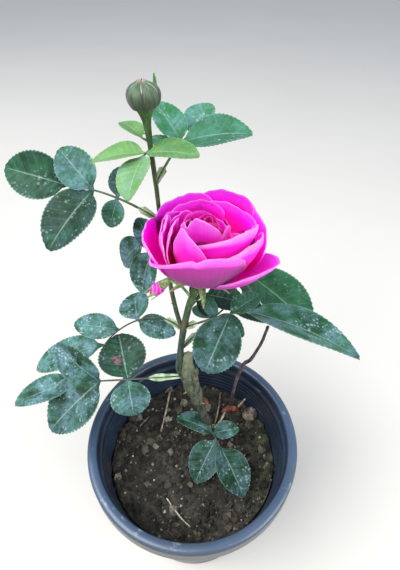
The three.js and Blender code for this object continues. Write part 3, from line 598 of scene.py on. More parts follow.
CLOD = [(37.2, 25.2, 80.6, 2.4), (39.4, 27.4, 81.6, 4.4), (42, 30, 81.6, 4.6), (44.4, 33, 80.6, 2.2)]
dry_straw, tree, shader, spot = finish_of("dry_straw", Roughness=0.7)
coat(tree, shader, mottled(tree, spot, 260.0, "#8f8473", "#c8bda6"))
dry_stick, tree, shader, spot = finish_of("dry_stick", Roughness=0.8)
coat(tree, shader, mottled(tree, spot, 320.0, "#554a40", "#94877a"))
rust_flake, tree, shader, spot = finish_of("rust_flake", Roughness=0.7)
coat(tree, shader, mottled(tree, spot, 240.0, "#6a2e22", "#a8705a"))
litter = Gathered()
for rows, kind in LITTER:
    litter.take(*limb(rows, 14, 10, bark=0.2, grooves=0.1), kind=kind)
litter.take(*limb(CLOD, 16, 18, bark=2.2, grooves=1.2), kind=1)
fit(litter.piece("soil_litter", [dry_straw, dry_stick, rust_flake]), "soil")


# Leaves
# Compound rose leaves: a thin stalk with winged stipules at its foot, leaflets in facing pairs and one at
# the tip. Every leaflet is a thin folded blade with a toothed margin and a quilted face between its veins.
# Each leaf starts at a point and grows len along a heading of az and el degrees, which turn, droop and
# roll over its length. Its fix holds what differs in one leaflet: L and R by pair, and T at the tip.
LEAVES = {
    "leaf_upper_left": dict(
        at=(-15.5, 50.8, 234.2), az=162, el=30, turn=-4, droop=38, roll=35, len=54, size=30, seed=1,
        tone=0, film=0,
        fix=dict(L1=dict(scale=0.88, splay=24, pitch=12, twist=-14, tone=0.5, film=0.4),
                 R1=dict(splay=10, pitch=-25, twist=11, film=0.4),
                 L2=dict(scale=1.5, splay=15, pitch=-21),
                 # R2's higher tone and film also paint the bluish light of the sky on this leaflet.
                 R2=dict(scale=1.06, splay=-26, pitch=-36, tone=0.4, film=0.6),
                 T=dict(scale=1.22, pitch=-43, twist=-14))),
    "leaf_upper_right": dict(
        at=(-16.5, 54, 253), az=53, el=47, turn=18, droop=57, roll=-25, len=38, size=28, seed=2, tone=1,
        film=0.4,
        fix=dict(L1=dict(scale=0.84, pitch=-17, twist=9), R1=dict(scale=0.74, splay=-29, pitch=-17),
                 L2=dict(scale=1.06, splay=9, pitch=-35, twist=-9),
                 R2=dict(scale=1.48, splay=5, pitch=-57, twist=-6),
                 T=dict(scale=0.85, splay=11, pitch=-59, twist=-28))),
    "leaf_young": dict(
        at=(-17.6, 55, 269.9), az=-117, el=7, droop=17, len=6, size=25, pairs=1, first=0.7, seed=3,
        fix=dict(L1=dict(scale=1.28, splay=26, pitch=-22),
                 R1=dict(scale=1.36, splay=-11, pitch=-12, twist=7),
                 T=dict(scale=0.94, splay=8, pitch=-11, twist=17))),
    "leaf_bract": dict(
        at=(-17.9, 55.2, 273.5), az=160, el=25, droop=10, len=4, size=14, pairs=0, first=1, seed=4,
        fix=dict(T=dict(scale=1.1, splay=-23, pitch=-20))),
    "leaf_right": dict(
        at=(-4.1, 20.2, 186.6), az=-6, el=36, turn=-6, droop=10, roll=-30, len=36, size=58, first=0.6,
        seed=5, tone=0.45, film=0.3, wide=0.3,
        fix=dict(L1=dict(scale=0.34, splay=30, pitch=-35), R1=dict(skip=1),
                 L2=dict(scale=0.38, splay=-23, pitch=10),
                 R2=dict(scale=0.72, splay=68, wide=1.2, twist=-28, tone=0.05, film=0.4),
                 T=dict(scale=1.04, splay=-18, pitch=8, twist=-52, wide=0.8))),
    "leaf_mid_left": dict(
        at=(-4.4, 19.9, 184), az=114, el=-12, turn=102, droop=30, roll=20, len=68, size=30, seed=6,
        first=0.6, tone=0.35, film=0.85, wing=(6, 2),
        fix=dict(L1=dict(scale=1.28, splay=81, pitch=12, twist=2, wide=0.84),
                 R1=dict(scale=1.06, splay=15, pitch=-21, twist=11, wide=1.47), L2=dict(skip=1),
                 R2=dict(scale=1.11, splay=-20, pitch=-36, twist=4, wide=0.77),
                 T=dict(scale=1.76, splay=-39, pitch=-17, twist=28, wide=0.58, bend=3))),
    "leaf_low_left": dict(
        at=(-4, 17, 147.4), az=-172, el=5, turn=-17, droop=22, roll=20, len=68, size=40, seed=7,
        first=0.5, tone=0.2, film=0.85, wing=(7, 2.4),
        fix=dict(L1=dict(scale=0.91, splay=23, pitch=13, twist=-9, wide=1.48, film=0.55),
                 R1=dict(scale=1.16, splay=10, pitch=-25, twist=5, wide=1.42, tone=0, film=0.1, scorch=1),
                 L2=dict(scale=1.21, splay=-12, pitch=-15, twist=-3, wide=1.09, film=0.45),
                 R2=dict(scale=1, splay=-25, pitch=-53, twist=-44, wide=0.98),
                 T=dict(scale=0.87, splay=23, pitch=-38, twist=15, wide=0.78))),
    "leaf_behind_right": dict(
        at=(-0.2, 22.8, 204), az=61, el=26, turn=-21, droop=80, roll=-10, len=54, size=45, seed=8,
        tone=0.45, film=0.2,
        fix=dict(R1=dict(skip=1), R2=dict(skip=1), L1=dict(scale=0.8), L2=dict(scale=0.8),
                 T=dict(scale=1.16, splay=-74, pitch=-24, twist=42))),
    "leaf_under_bloom": dict(
        at=(-1.9, 21.4, 197.5), az=58, el=30, turn=-20, droop=30, roll=-20, len=14, size=22, pairs=1,
        first=0.6, seed=11, tone=0.05, film=0.2,
        fix=dict(L1=dict(scale=0.67, splay=-30, pitch=-12), R1=dict(scale=0.65, splay=4, pitch=11),
                 T=dict(scale=1.06, splay=-40, pitch=-18))),
    "leaf_behind_left": dict(
        at=(-12.2, 41.5, 213), az=146, el=24, turn=-24, droop=22, roll=20, len=21, size=24, pairs=1,
        first=0.6, seed=9, tone=0.3, film=0.75,
        fix=dict(L1=dict(scale=1.39, splay=34, pitch=21, twist=5),
                 R1=dict(splay=-46, pitch=-46, twist=22),
                 T=dict(scale=1.07, splay=63, pitch=18, twist=-26))),
    "leaf_near_soil": dict(
        at=(10.2, 14.2, 93), az=-71, el=38, turn=9, droop=50, len=20, size=30, seed=10, tone=0, film=0.3,
        fix=dict(L1=dict(splay=-2, pitch=-21, twist=14),
                 R1=dict(scale=1.43, splay=62, pitch=-40, twist=13), L2=dict(skip=1),
                 R2=dict(scale=1.12, pitch=10, tone=-0.2, film=0.3),
                 T=dict(pitch=-20, twist=-7, tone=-0.3, film=0.3))),
    "leaf_back": dict(at=(-13.7, 46, 222), az=35, el=5, turn=10, droop=35, len=44, size=30, seed=12),
    "leaf_back_right": dict(at=(-5.6, 19, 170.5), az=38, el=28, turn=15, droop=40, len=54, size=34,
                            seed=13),
}
YOUNG = ("leaf_young", "leaf_bract")
WINGED_FROM = 18
STALK_R, STALK_TAPER, STALK_STEPS, BLADE_THICK = 0.75, 0.45, 24, 0.4
SIDE_VEINS, VEIN_LEAN = 8, 1.3
# Degrees between the first pair of leaflets and the stalk, and how much less the next pair opens
PAIR_OPENING, OPENING_STEP = 72, 14
# Length of a side leaflet over the end one's: in the first pair, added by the last, in a lone pair
FIRST_SHARE, SHARE_STEP, LONE_SHARE = 0.62, 0.24, 0.8
# Degrees that a leaflet sags, bends along its length and folds at its midrib; width over length
LEAFLET_SAG, LEAFLET_BEND, LEAFLET_FOLD, LEAFLET_WIDE = 10, 25, 15, 0.36
# How full the outline is at its foot and its tip, and that rule's value where it is widest
BLADE_FOOT, BLADE_TIP, BLADE_PEAK = 0.55, 0.75, 0.412
# Millimetres between teeth, the fewest and the most teeth on a side, and the depth of the wavy margin
TOOTH_STEP, FEWEST_TEETH, MOST_TEETH, MARGIN_WAVE = 2.1, 7, 20, 0.05


def jitter(seed, k):
    """A fixed number from -1 to 1 for each seed and count."""
    x = math.sin(seed * 12.9898 + k * 78.233) * 43758.5453
    return 2 * (x - math.floor(x)) - 1


def heading(az, el):
    """Forward, upward and sideward directions of a heading given in degrees."""
    a, e = math.radians(az), math.radians(el)
    return (np.array([math.cos(e) * math.cos(a), math.cos(e) * math.sin(a), math.sin(e)]),
            np.array([-math.sin(e) * math.cos(a), -math.sin(e) * math.sin(a), math.cos(e)]),
            np.array([-math.sin(a), math.cos(a), 0.0]))


def turned(a, b, w):
    """The pair of directions a and b turned by w radians in their own plane."""
    return a * math.cos(w) + b * math.sin(w), b * math.cos(w) - a * math.sin(w)


def leaf_stalk(leaf, steps=STALK_STEPS):
    """Points down the leaf stalk, each with its forward, upward and sideward directions."""
    p, rows = np.array(leaf["at"], float), []
    turn, droop, roll = leaf.get("turn", 0), leaf.get("droop", 0), math.radians(leaf.get("roll", 0))
    for i in range(steps + 1):
        s, m = i / steps, (i + 0.5) / steps
        T, N, B = heading(leaf["az"] + turn * s, leaf["el"] - droop * s)
        rows.append((p.copy(), T, *turned(N, B, roll)))
        p = p + heading(leaf["az"] + turn * m, leaf["el"] - droop * m)[0] * leaf["len"] / steps
    return rows


def leaflets(leaf):
    """Leaflets in facing pairs up the stalk and one at its end, each a little its own by the seed."""
    pairs, first, seed = leaf.get("pairs", 2), leaf.get("first", 0.45), leaf["seed"]
    stalk = leaf_stalk(leaf)
    n, k = len(stalk) - 1, 0
    for j in range(pairs + 1):
        p, T, N, S = stalk[min(n, math.floor(n * (first + (1 - first) * j / pairs if pairs else 1) + 0.5))]
        for side in ((0,) if j == pairs else (1, -1)):
            k += 1
            trim = leaf.get("fix", {}).get(("L" if side > 0 else "R") + str(j + 1) if side else "T", {})
            if trim.get("skip"):
                continue
            share = 1
            if side:
                share = FIRST_SHARE + SHARE_STEP * j / (pairs - 1) if pairs > 1 else LONE_SHARE
            opening = (PAIR_OPENING - OPENING_STEP * j) * (1 + 0.06 * jitter(seed, k + 10)) if side else 0
            opening = math.radians(opening + trim.get("splay", 0))
            dip = math.radians(LEAFLET_SAG + 5 * jitter(seed, k + 20) + trim.get("pitch", 0))
            along = T * math.cos(opening) + S * (side or 1) * math.sin(opening)
            D, up = turned(along, -N, dip)
            up = -up
            across, up = turned(np.cross(up, D), up, math.radians(trim.get("twist", 0)))
            length = leaf["size"] * share * (1 + 0.05 * jitter(seed, k)) * trim.get("scale", 1)
            own = seed * 31 + k
            yield dict(
                base=p, D=D, N=up, E=across, L=length, seed=own,
                W=length * leaf.get("wide", LEAFLET_WIDE) * trim.get("wide", 1),
                bend=math.radians(LEAFLET_BEND + trim.get("bend", 0)), fold=math.radians(LEAFLET_FOLD),
                tone=trim.get("tone", leaf.get("tone", 0.3) + 0.2 * jitter(own, 3)),
                film=trim.get("film", leaf.get("film", 0.25) + 0.2 * jitter(own, 4)),
                scorch=trim.get("scorch", 0))


def shell(top, bottom):
    """One closed sheet from its upper and lower grids of points."""
    n, m = top.shape[:2]
    faces = [(i * m + j, i * m + j + 1, i * m + m + j + 1, i * m + m + j)
             for i in range(n - 1) for j in range(m - 1)]
    faces += [tuple(k + n * m for k in reversed(f)) for f in faces]
    rim = [j for j in range(m)] + [i * m + m - 1 for i in range(1, n)]
    rim += [(n - 1) * m + j for j in range(m - 2, -1, -1)] + [i * m for i in range(n - 2, 0, -1)]
    faces += [(b, a, a + n * m, b + n * m) for a, b in zip(rim, rim[1:] + rim[:1])]
    return np.vstack([top.reshape(-1, 3), bottom.reshape(-1, 3)]), faces


def leaf_half(x):
    """Half the width of a leaflet at x, from 0 at its foot to 1 at its tip."""
    return x ** BLADE_FOOT * (1 - x) ** BLADE_TIP / BLADE_PEAK


def blade(one, teeth=0.042, quilt=0.006, cols=10, half=leaf_half, stalk=0.06, thick=BLADE_THICK):
    """A leaflet: a bent sheet folded along its midrib, its margin toothed towards the tip."""
    L, W, bend, seed = one["L"], one["W"], one["bend"] + 1e-6, one["seed"]
    rows = 3 * int(min(MOST_TEETH, max(FEWEST_TEETH, round(L / TOOTH_STEP))))
    grid = np.zeros((rows + 2, cols + 1, 3))
    lift = np.zeros_like(grid)
    uv = np.zeros((rows + 2, cols + 1, 2))
    for i in range(-1, rows + 1):
        x = 0 if i < 0 else min(0.995, 0.01 + 0.99 * i / rows)
        u = 0 if i < 0 else stalk + (1 - stalk) * x
        c = one["base"] + one["D"] * L / bend * math.sin(bend * u)
        c = c - one["N"] * L / bend * (1 - math.cos(bend * u))
        along, up = turned(one["D"], -one["N"], bend * u)
        up = -up
        h = max(0.45 if i < 0 else 0.25, 0 if i < 0 else W * half(x))
        tip = (i % 3) / 2 if i > 0 else 0
        for j in range(cols + 1):
            v = 2 * j / cols - 1
            reach = v * (1 + teeth * (tip - 0.6) * abs(v) ** 7)
            phase = SIDE_VEINS * x - VEIN_LEAN * abs(v)
            puff = quilt * W * (1 - math.cos(2 * math.pi * phase)) * (1 - abs(v) ** 4) * min(1, 3 * (1 - x))
            wave = MARGIN_WAVE * W * math.sin(5 * x + seed + (2 if v > 0 else 0)) * v * v
            wave = wave * math.sin(math.pi * min(1, x))
            p = c + one["E"] * h * reach * math.cos(one["fold"])
            p = p + up * (h * abs(v) * math.sin(one["fold"]) + puff + wave)
            p = p + along * L * 0.012 * tip * abs(v) ** 7
            grid[i + 1, j], lift[i + 1, j], uv[i + 1, j] = p, up * thick / 2, (x, j / cols)
    verts, faces = shell(grid + lift, grid - lift)
    under = np.repeat([0.0, 1.0], len(verts) // 2)
    return verts, faces, np.vstack([uv.reshape(-1, 2)] * 2), under


def stipules(rows, reach, wide):
    """The pair of narrow wings along the foot of a leaf stalk, free and pointed at their upper ends."""
    for side in (1, -1):
        grid = np.zeros((9, 4, 3))
        for i in range(9):
            s = i / 8
            p, T, N, S = rows[min(len(rows) - 1, round(s * reach))]
            w = wide * (0.35 + 0.65 * s) * (1 if s < 0.8 else (1 - s) / 0.2 + 0.05)
            for j in range(4):
                v = j / 3
                grid[i, j] = p + S * side * (0.3 + w * v) + N * (0.5 * v * w * 0.6 + 0.3) + T * 2 * v * s
            lift = N * 0.18
        yield shell(grid + lift, grid - lift)


dried_spray, ends_in, ends_out = effect("dried_spray", {"Dot Scale": 560.0, "Cover": 0.5}, ["Mask"])
spot = add(dried_spray, "ShaderNodeTexCoord").outputs["Object"]
drift = between(dried_spray, grain(dried_spray, spot, 85.0), 0.36, 0.66)
wobble = add(dried_spray, "ShaderNodeTexNoise", {"Vector": spot, "Scale": 900.0, "Detail": 1.0})
shifted = add(dried_spray, "ShaderNodeVectorMath", {0: wobble.outputs["Color"], "Scale": 0.0006},
              operation="SCALE").outputs[0]
shifted = add(dried_spray, "ShaderNodeVectorMath", {0: spot, 1: shifted}, operation="ADD").outputs[0]
cells = add(dried_spray, "ShaderNodeTexVoronoi", {"Vector": shifted, "Scale": ends_in.outputs["Dot Scale"]})
chance = part_of(dried_spray, cells.outputs["Color"], "X")
grow = times(dried_spray, times(dried_spray, chance, drift), ends_in.outputs["Cover"])
dots = between(dried_spray, maths(dried_spray, "SUBTRACT", grow, cells.outputs["Distance"]), -0.06, 0.03)
mist = between(dried_spray, grain(dried_spray, spot, 420.0, 4.0, 0.7), 0.52, 0.74, 0.0, 0.45)
film = times(dried_spray, mist, drift)
dried_spray.links.new(maths(dried_spray, "MAXIMUM", dots, film, clamp=True), ends_out.inputs["Mask"])

veining, ends_in, ends_out = effect(
    "leaf_veins", {"Pairs": SIDE_VEINS, "Lean": VEIN_LEAN, "Width": 0.16}, ["Vein", "Quilt"])
along, across = (part_of(veining, own_map(veining), letter) for letter in "XY")
aside = maths(veining, "ABSOLUTE", maths(veining, "MULTIPLY_ADD", across, 2.0, -1.0))
phase = maths(veining, "SUBTRACT", times(veining, along, ends_in.outputs["Pairs"]),
              times(veining, aside, ends_in.outputs["Lean"]))
near = maths(veining, "SUBTRACT", maths(veining, "FRACT", phase), 0.5)
near = times(veining, maths(veining, "ABSOLUTE", near), 2.0)
side_vein = between(veining, near, maths(veining, "SUBTRACT", 1.0, ends_in.outputs["Width"]), 1.0)
side_vein = times(veining, side_vein, between(veining, aside, 1.0, 0.7))
midrib = between(veining, aside, 0.055, 0.01)
vein_and_rim_highlight = maths(veining, "MAXIMUM", times(veining, side_vein, 0.2), midrib, clamp=True)
# Painted highlight: a pale line along the leaflet's margin, carried in the same mask as the veins.
vein_and_rim_highlight = maths(veining, "MAXIMUM", vein_and_rim_highlight, between(veining, aside, 0.93, 1.0, 0.0, 0.8))
veining.links.new(vein_and_rim_highlight, ends_out.inputs["Vein"])
quilt = maths(veining, "SUBTRACT", 1.0, maths(veining, "MAXIMUM", near, midrib))
veining.links.new(quilt, ends_out.inputs["Quilt"])

# A small scorched patch beside the midrib
scorching, ends_in, ends_out = effect(
    "leaf_scorch", {"Along": 0.4, "Across": 0.62, "Reach": 0.13}, ["Mask"])
off = []
for letter, key in [("X", "Along"), ("Y", "Across")]:
    place = part_of(scorching, own_map(scorching), letter)
    apart = maths(scorching, "SUBTRACT", place, ends_in.outputs[key])
    off.append(maths(scorching, "POWER", apart, 2.0))
off = maths(scorching, "POWER", maths(scorching, "ADD", *off), 0.5)
ragged = grain(scorching, add(scorching, "ShaderNodeTexCoord").outputs["Object"], 500.0)
off = maths(scorching, "ADD", off, maths(scorching, "MULTIPLY_ADD", ragged, 0.36, -0.18))
scorching.links.new(between(scorching, off, ends_in.outputs["Reach"], 0.06), ends_out.inputs["Mask"])


def leaf_finish(name, dark, light, vein_and_rim_colour, under_colour, cover, rough):
    """A leaf blade: mottled green, pale veins with a painted highlight along the margin, a paler underside
    and dried spray on the upper face.
    """
    made, tree, shader, spot = finish_of(name, Roughness=rough, Specular_IOR_Level=0.16)
    marks = {key: mark(tree, key) for key in ("tone", "under", "film", "scorch")}
    patches = between(tree, grain(tree, spot, 90.0, 4.0), 0.3, 0.7, -0.3, 0.3)
    green = mixed(tree, maths(tree, "ADD", patches, marks["tone"], clamp=True), dark, light)
    veins = place_effect(tree, veining)
    above = maths(tree, "SUBTRACT", 1.0, times(tree, marks["under"], 0.85))
    mist = times(tree, between(tree, grain(tree, spot, 120.0, 5.0, 0.6), 0.34, 0.66),
                 between(tree, grain(tree, spot, 620.0, 4.0, 0.7), 0.32, 0.6, 0.35, 1.0))
    mist = times(tree, times(tree, mist, marks["film"]), above, clamp=True)
    green = mixed(tree, times(tree, mist, 0.78), green, "#82aaba")
    # Pale veins, and the painted highlight along each margin.
    green = mixed(tree, times(tree, veins.outputs["Vein"], 0.32), green, vein_and_rim_colour)
    green = mixed(tree, times(tree, marks["under"], 0.85), green, under_colour)
    dots = times(tree, place_effect(tree, dried_spray, Cover=cover).outputs["Mask"], above)
    dots = times(tree, dots, maths(tree, "MULTIPLY_ADD", marks["film"], 0.7, 0.4), clamp=True)
    green = mixed(tree, times(tree, dots, 0.45), green, "#b4cccf")
    burnt = times(tree, place_effect(tree, scorching).outputs["Mask"], marks["scorch"])
    scorched = mottled(tree, spot, 700.0, "#4c3238", "#7a6268", 0.4, 0.6)
    coat(tree, shader, mixed(tree, burnt, green, scorched))
    dull = between(tree, maths(tree, "MAXIMUM", dots, mist), 0.0, 1.0, rough, 0.8)
    tree.links.new(dull, shader.inputs["Roughness"])
    skin_grain = times(tree, grain(tree, spot, 900.0), 0.4)
    relief(tree, shader, maths(tree, "ADD", veins.outputs["Quilt"], skin_grain), 0.0002)
    return made


leaf_blade = leaf_finish("leaf_blade", "#10301c", "#2e6a42", "#9cc0ac", "#4c6a56", 0.5, 0.5)
young_blade = leaf_finish("young_blade", "#4c7a3f", "#759f5c", "#b4cc98", "#7c9c6c", 0.35, 0.45)
stipule_green, tree, shader, spot = finish_of("stipule_green", Roughness=0.6)
coat(tree, shader, mottled(tree, spot, 300.0, "#6f8a5e", "#b4c2a2", 0.35, 0.65, 4.0))

for name, leaf in LEAVES.items():
    body = Gathered()
    rows = leaf_stalk(leaf)
    rings = []
    for i, (p, T, N, S) in enumerate(rows):
        r = STALK_R * (1 - STALK_TAPER * i / STALK_STEPS)
        rings.append([p + S * r * math.cos(w) + N * r * math.sin(w) for w in np.arange(8) * math.pi / 4])
    body.take(*skin(rings), kind=1)
    if leaf["len"] > WINGED_FROM:
        for wing in stipules(rows, *leaf.get("wing", (5, 2.2))):
            body.take(*wing, kind=2)
    for one in leaflets(leaf):
        verts, faces, uv, under = blade(one)
        looks = {key: one[key] for key in ("tone", "film", "scorch")}
        body.take(verts, faces, uv=uv, under=under, **looks)
    finish = young_blade if name in YOUNG else leaf_blade
    fit(body.piece(name + "_leaflets", [finish, green_bark, stipule_green], crease=70),
        "young_leaf" if name in YOUNG else "leaf", name)


# Calyx under the bloom
# The swollen green hip that ends the flower shoot and the five narrow sepals folded back under the
# petals. The hip is turned and the sepals are thin folded blades that narrow to a point.
BLOOM_AT, BLOOM_AXIS = (5.2, 27, 219), (0.17, 0.05, 1)
HIP_AXIS = (0.3, 0.18, 1)
HIP = [(0, 0.4), (1.2, 0.4), (1.95, 0.7), (2.9, 1.8), (3.6, 3), (3.95, 4.1), (4, 5.2), (3.8, 6.2),
       (3.2, 6.9), (0, 7)]
CALYX = dict(count=5, r=2.4, L=15, W=2.6, lean=102, bend=22, turn=63)


def sepal_half(x):
    return (1 - x) ** 0.8 * (0.75 + 0.5 * x)


def sepals(at, axis, count, r, L, W, lean, bend, turn=0):
    """Narrow blades in a ring about an axis, leaning away from it and bending on by `bend` degrees."""
    a, b, c = side_frame(axis)
    for i in range(count):
        out, _ = turned(a, b, math.radians(turn + 360 * i / count))
        D, N = turned(c, out, math.radians(lean))
        one = dict(base=np.array(at) + out * r, D=D, N=-N, E=np.cross(-N, D), L=L, W=W,
                   bend=math.radians(bend), fold=math.radians(10), seed=i)
        yield blade(one, teeth=0.0, quilt=0.0, cols=6, half=sepal_half)


sepal_green, tree, shader, spot = finish_of("sepal_green", Roughness=0.55, Sheen_Weight=0.15)
strands = grain(tree, streaked(tree, spot, 1, 1, 0.2), 800.0, 3.0)
fresh = mixed(tree, between(tree, strands, 0.35, 0.7), "#4c6238", "#93a86c")
blush = between(tree, grain(tree, spot, 140.0), 0.5, 0.68, 0.0, 0.6)
coat(tree, shader, mixed(tree, blush, fresh, "#8a5a58"))
relief(tree, shader, strands, 0.0003)

calyx = Gathered()
calyx.take(*revolve(HIP, 28, FLOWER_SHOOT[-1][:3], HIP_AXIS))
for verts, faces, uv, under in sepals((4.8, 26.4, 217.6), BLOOM_AXIS, **CALYX):
    calyx.take(verts, faces, uv=uv, under=under)
fit(calyx.piece("bloom_calyx_sepals", [sepal_green]), "sepal", "bloom_calyx")


# Bloom
# The open magenta rose: wide outer petals rolled back at their rims, cupped middle petals standing in
# rings and a tight whorl in the centre. Each petal is a thin curved sheet on the flower's middle.
PETAL_THICK = 0.5
# The share of its length at which a petal starts, and where its rim and the rolled edge begin and how far
# they reach; the roll's angle in radians; depth, count and seed's share of the ripples along the rim
PETAL_START = 0.12
RIM_FROM, RIM_REACH = 0.7, 0.3
EDGE_FROM, EDGE_REACH, ROLL_ANGLE = 0.82, 0.18, 2.6
RIPPLES = [(0.45, 6, 2.1), (0.2, 15, 1)]
# Each petal has its turn about the axis and half its width in degrees, the radius and height of its rim,
# and the radius and height of its swell. The rest is how its rim curls, points, slants, skews and rolls.
PETALS = [
    # outer ring
    dict(turn=-87, wide=59, rim=28.5, tall=34.3, belly=24.6, low=0.4, point=0.8, slant=2.7, skew=-12.8,
         spread=-5.2, roll=2.6, dull=1, nick=(-0.05, 1.8, 0.07)),
    dict(turn=-23, wide=50, rim=31.4, tall=18.5, belly=24.4, low=1.4, point=3.2, slant=-0.5, skew=-6.4,
         spread=7.6, roll=0.4, dull=0.5),
    dict(turn=34, wide=38, rim=31.5, tall=29.4, belly=33, low=4, curl=2.6, point=-1.8, slant=6.1,
         skew=7.4, spread=3.7, roll=0.3, square=0.1),
    dict(turn=78, wide=33, rim=30.8, tall=34.6, belly=38, low=9, curl=2, point=-1.5, slant=-2.1,
         skew=-5.5, spread=0.6, roll=0.5, nick=(0.85, 0.8, 0.07), square=0.11),
    dict(turn=123, wide=36, rim=27.8, tall=32, belly=31.6, low=8, curl=2.8, point=-2.5, slant=-4.2,
         skew=-7.6, roll=0.5, square=0.11),
    dict(turn=178, wide=48, rim=28.4, tall=26.6, belly=32.1, low=6.7, curl=1.1, point=-3.1, slant=1,
         skew=-1.6, spread=1.4, roll=0.8),
    # middle ring
    dict(turn=188, wide=32, rim=21.1, tall=30.4, belly=24, low=6.3, point=-5.2, slant=-7.5, skew=2.9,
         spread=2.6, roll=0.4),
    dict(turn=192, wide=31, rim=16.9, tall=29.9, belly=24.5, low=7, point=-2.1, slant=-6.9, skew=-0.6,
         spread=4.4, roll=0.4),
    dict(turn=-119, wide=35, rim=20.4, tall=28.7, belly=16.6, low=2.1, curl=3, point=9.4, slant=10.7,
         skew=-9.6, spread=4.1),
    dict(turn=-46, wide=55, rim=21.6, tall=33.9, belly=28.5, low=14.7, point=-1.9, slant=0.8, skew=10,
         spread=0.7, roll=0.8),
    dict(turn=10, wide=45, rim=21, tall=24, belly=24, low=5, curl=0.5, roll=0.3),
    dict(turn=100, wide=46, rim=22, tall=27, belly=27, low=7, curl=1, roll=0.4),
    dict(turn=150, wide=42, rim=21, tall=27, belly=25, low=6, curl=0.5, roll=0.3),
    # inner ring
    dict(turn=-118, wide=71, rim=12.7, tall=36.1, belly=7.6, low=8.3, curl=2.9, point=4.1, slant=3.4,
         skew=-5.4, spread=-2.2, nick=(-0.28, 4, 0.12), deep=0.64),
    dict(turn=-56, wide=68, rim=17.8, tall=37.4, belly=22.1, low=17.8, point=-0.8, slant=1.7, skew=6.6,
         spread=1.6, roll=0.8, deep=0.6),
    dict(turn=56, wide=47, rim=22, tall=32.4, belly=29, low=13, curl=4, point=-1.2, slant=-0.6, skew=4,
         roll=0.4, square=0.1),
    dict(turn=112, wide=44, rim=20, tall=31.6, belly=28, low=10, curl=2.2, point=-1, slant=-1.7, skew=-5,
         roll=0.3, square=0.1),
    dict(turn=150, wide=40, rim=16, tall=30, belly=20.7, low=9, curl=2.4, point=-2, slant=-2, skew=-5,
         roll=0.3),
    dict(turn=0, wide=60, rim=15, tall=24, belly=18, low=6, curl=0.6),
    dict(turn=75, wide=62, rim=13, tall=25, belly=18, low=7, curl=0.6),
    dict(turn=150, wide=58, rim=12, tall=26, belly=17, low=7, curl=0.4),
    # whorl
    dict(turn=-22, wide=46, rim=7.4, tall=30.6, belly=14, low=8, curl=1, point=2.2, roll=0.5, square=0.1,
         shift=(-1, 0.5)),
    dict(turn=105, wide=72, rim=9, tall=29.6, belly=13, low=9, curl=0.6, spread=1.6, square=0.06,
         shift=(-2, 1)),
    dict(turn=215, wide=66, rim=8, tall=30.2, belly=13, low=9, curl=0.4, spread=1.6, square=0.06,
         shift=(-2, 1)),
    dict(turn=-60, wide=70, rim=5.6, tall=30, belly=12, low=10, curl=0.4, spread=1.4, square=0.05,
         shift=(-2, 0.6)),
    dict(turn=60, wide=80, rim=4.9, tall=30.6, belly=11, low=11, spread=1.3, square=0.04,
         shift=(-2, 0.6)),
    dict(turn=175, wide=82, rim=4.1, tall=30.9, belly=10, low=12, spread=1.2, square=0.04,
         shift=(-2, 0.6)),
    dict(turn=-70, wide=84, rim=3.2, tall=31, belly=9, low=12, spread=1, square=0.03, shift=(-2, 0.6)),
    dict(turn=50, wide=86, rim=2.3, tall=31.2, belly=8, low=13, spread=0.8, square=0.03, shift=(-2, 0.6)),
    dict(turn=170, wide=88, rim=1.5, tall=31.2, belly=6, low=14, spread=0.5, square=0.03,
         shift=(-2, 0.6)),
]
HEART = [(0, -1.2), (3.6, -1.2), (5, 0.6), (7.6, 5), (6.4, 13), (3, 20), (1.2, 23), (0, 24)]


def petal(turn, wide, rim, tall, belly, low=0, curl=0, point=0, slant=0, skew=0, spread=1.1, roll=0,
          nick=(0, 0, 0.1), square=0.16, shift=(0, 0), seed=0, rows=28, cols=26):
    """A petal's two faces as one closed sheet, with its own coordinates and its outer side marked."""
    a, b, c = side_frame(BLOOM_AXIS)
    sides = []
    for lift in (PETAL_THICK / 2, -PETAL_THICK / 2):
        grid = np.zeros((rows + 1, cols + 1, 3))
        for i, j in np.ndindex(rows + 1, cols + 1):
            t, u = PETAL_START + (1 - PETAL_START) * i / rows, 2 * j / cols - 1
            s = t * (1 - square * u * u - 0.1 * u ** 8)
            over = max(0, s - RIM_FROM) / RIM_REACH
            edge = max(0, t - EDGE_FROM) / EDGE_REACH
            ripple = sum(depth * math.sin(count * u + seed * own) for depth, count, own in RIPPLES)
            ripple = over * ripple * min(1, rim / 20)
            r = (1 - s) ** 2 * 2 + 2 * s * (1 - s) * belly + s * s * rim
            r = r + 0.8 * curl * over ** 2 + spread * u * s
            z = (1 - s) ** 2 + 2 * s * (1 - s) * low + s * s * (tall + slant * u) - 0.7 * curl * over ** 2
            turned_out = roll * (1 - 0.65 * u) * (1 - u ** 6)
            r += lift + ripple + turned_out * math.sin(ROLL_ANGLE * edge)
            rise = point * over * (1 - abs(u)) - 0.35 * lift + 0.3 * ripple
            z += rise - turned_out * (1 - math.cos(ROLL_ANGLE * edge))
            z -= nick[1] * math.exp(-((u - nick[0]) / nick[2]) ** 2) * edge
            w = turn + skew * s * s + wide * u * (0.55 + 0.45 * math.sin(math.pi * min(1, 0.12 + 0.75 * s)))
            w = math.radians(w)
            x, y = r * math.cos(w) + shift[0] * s, r * math.sin(w) + shift[1] * s
            grid[i, j] = np.array(BLOOM_AT) + a * x + b * y + c * z
        sides.append(grid)
    verts, faces = shell(*sides)
    uv = [(j / cols, i / rows) for i, j in np.ndindex(rows + 1, cols + 1)]
    return verts, faces, np.array(uv * 2), np.repeat([1.0, 0.0], len(verts) // 2)


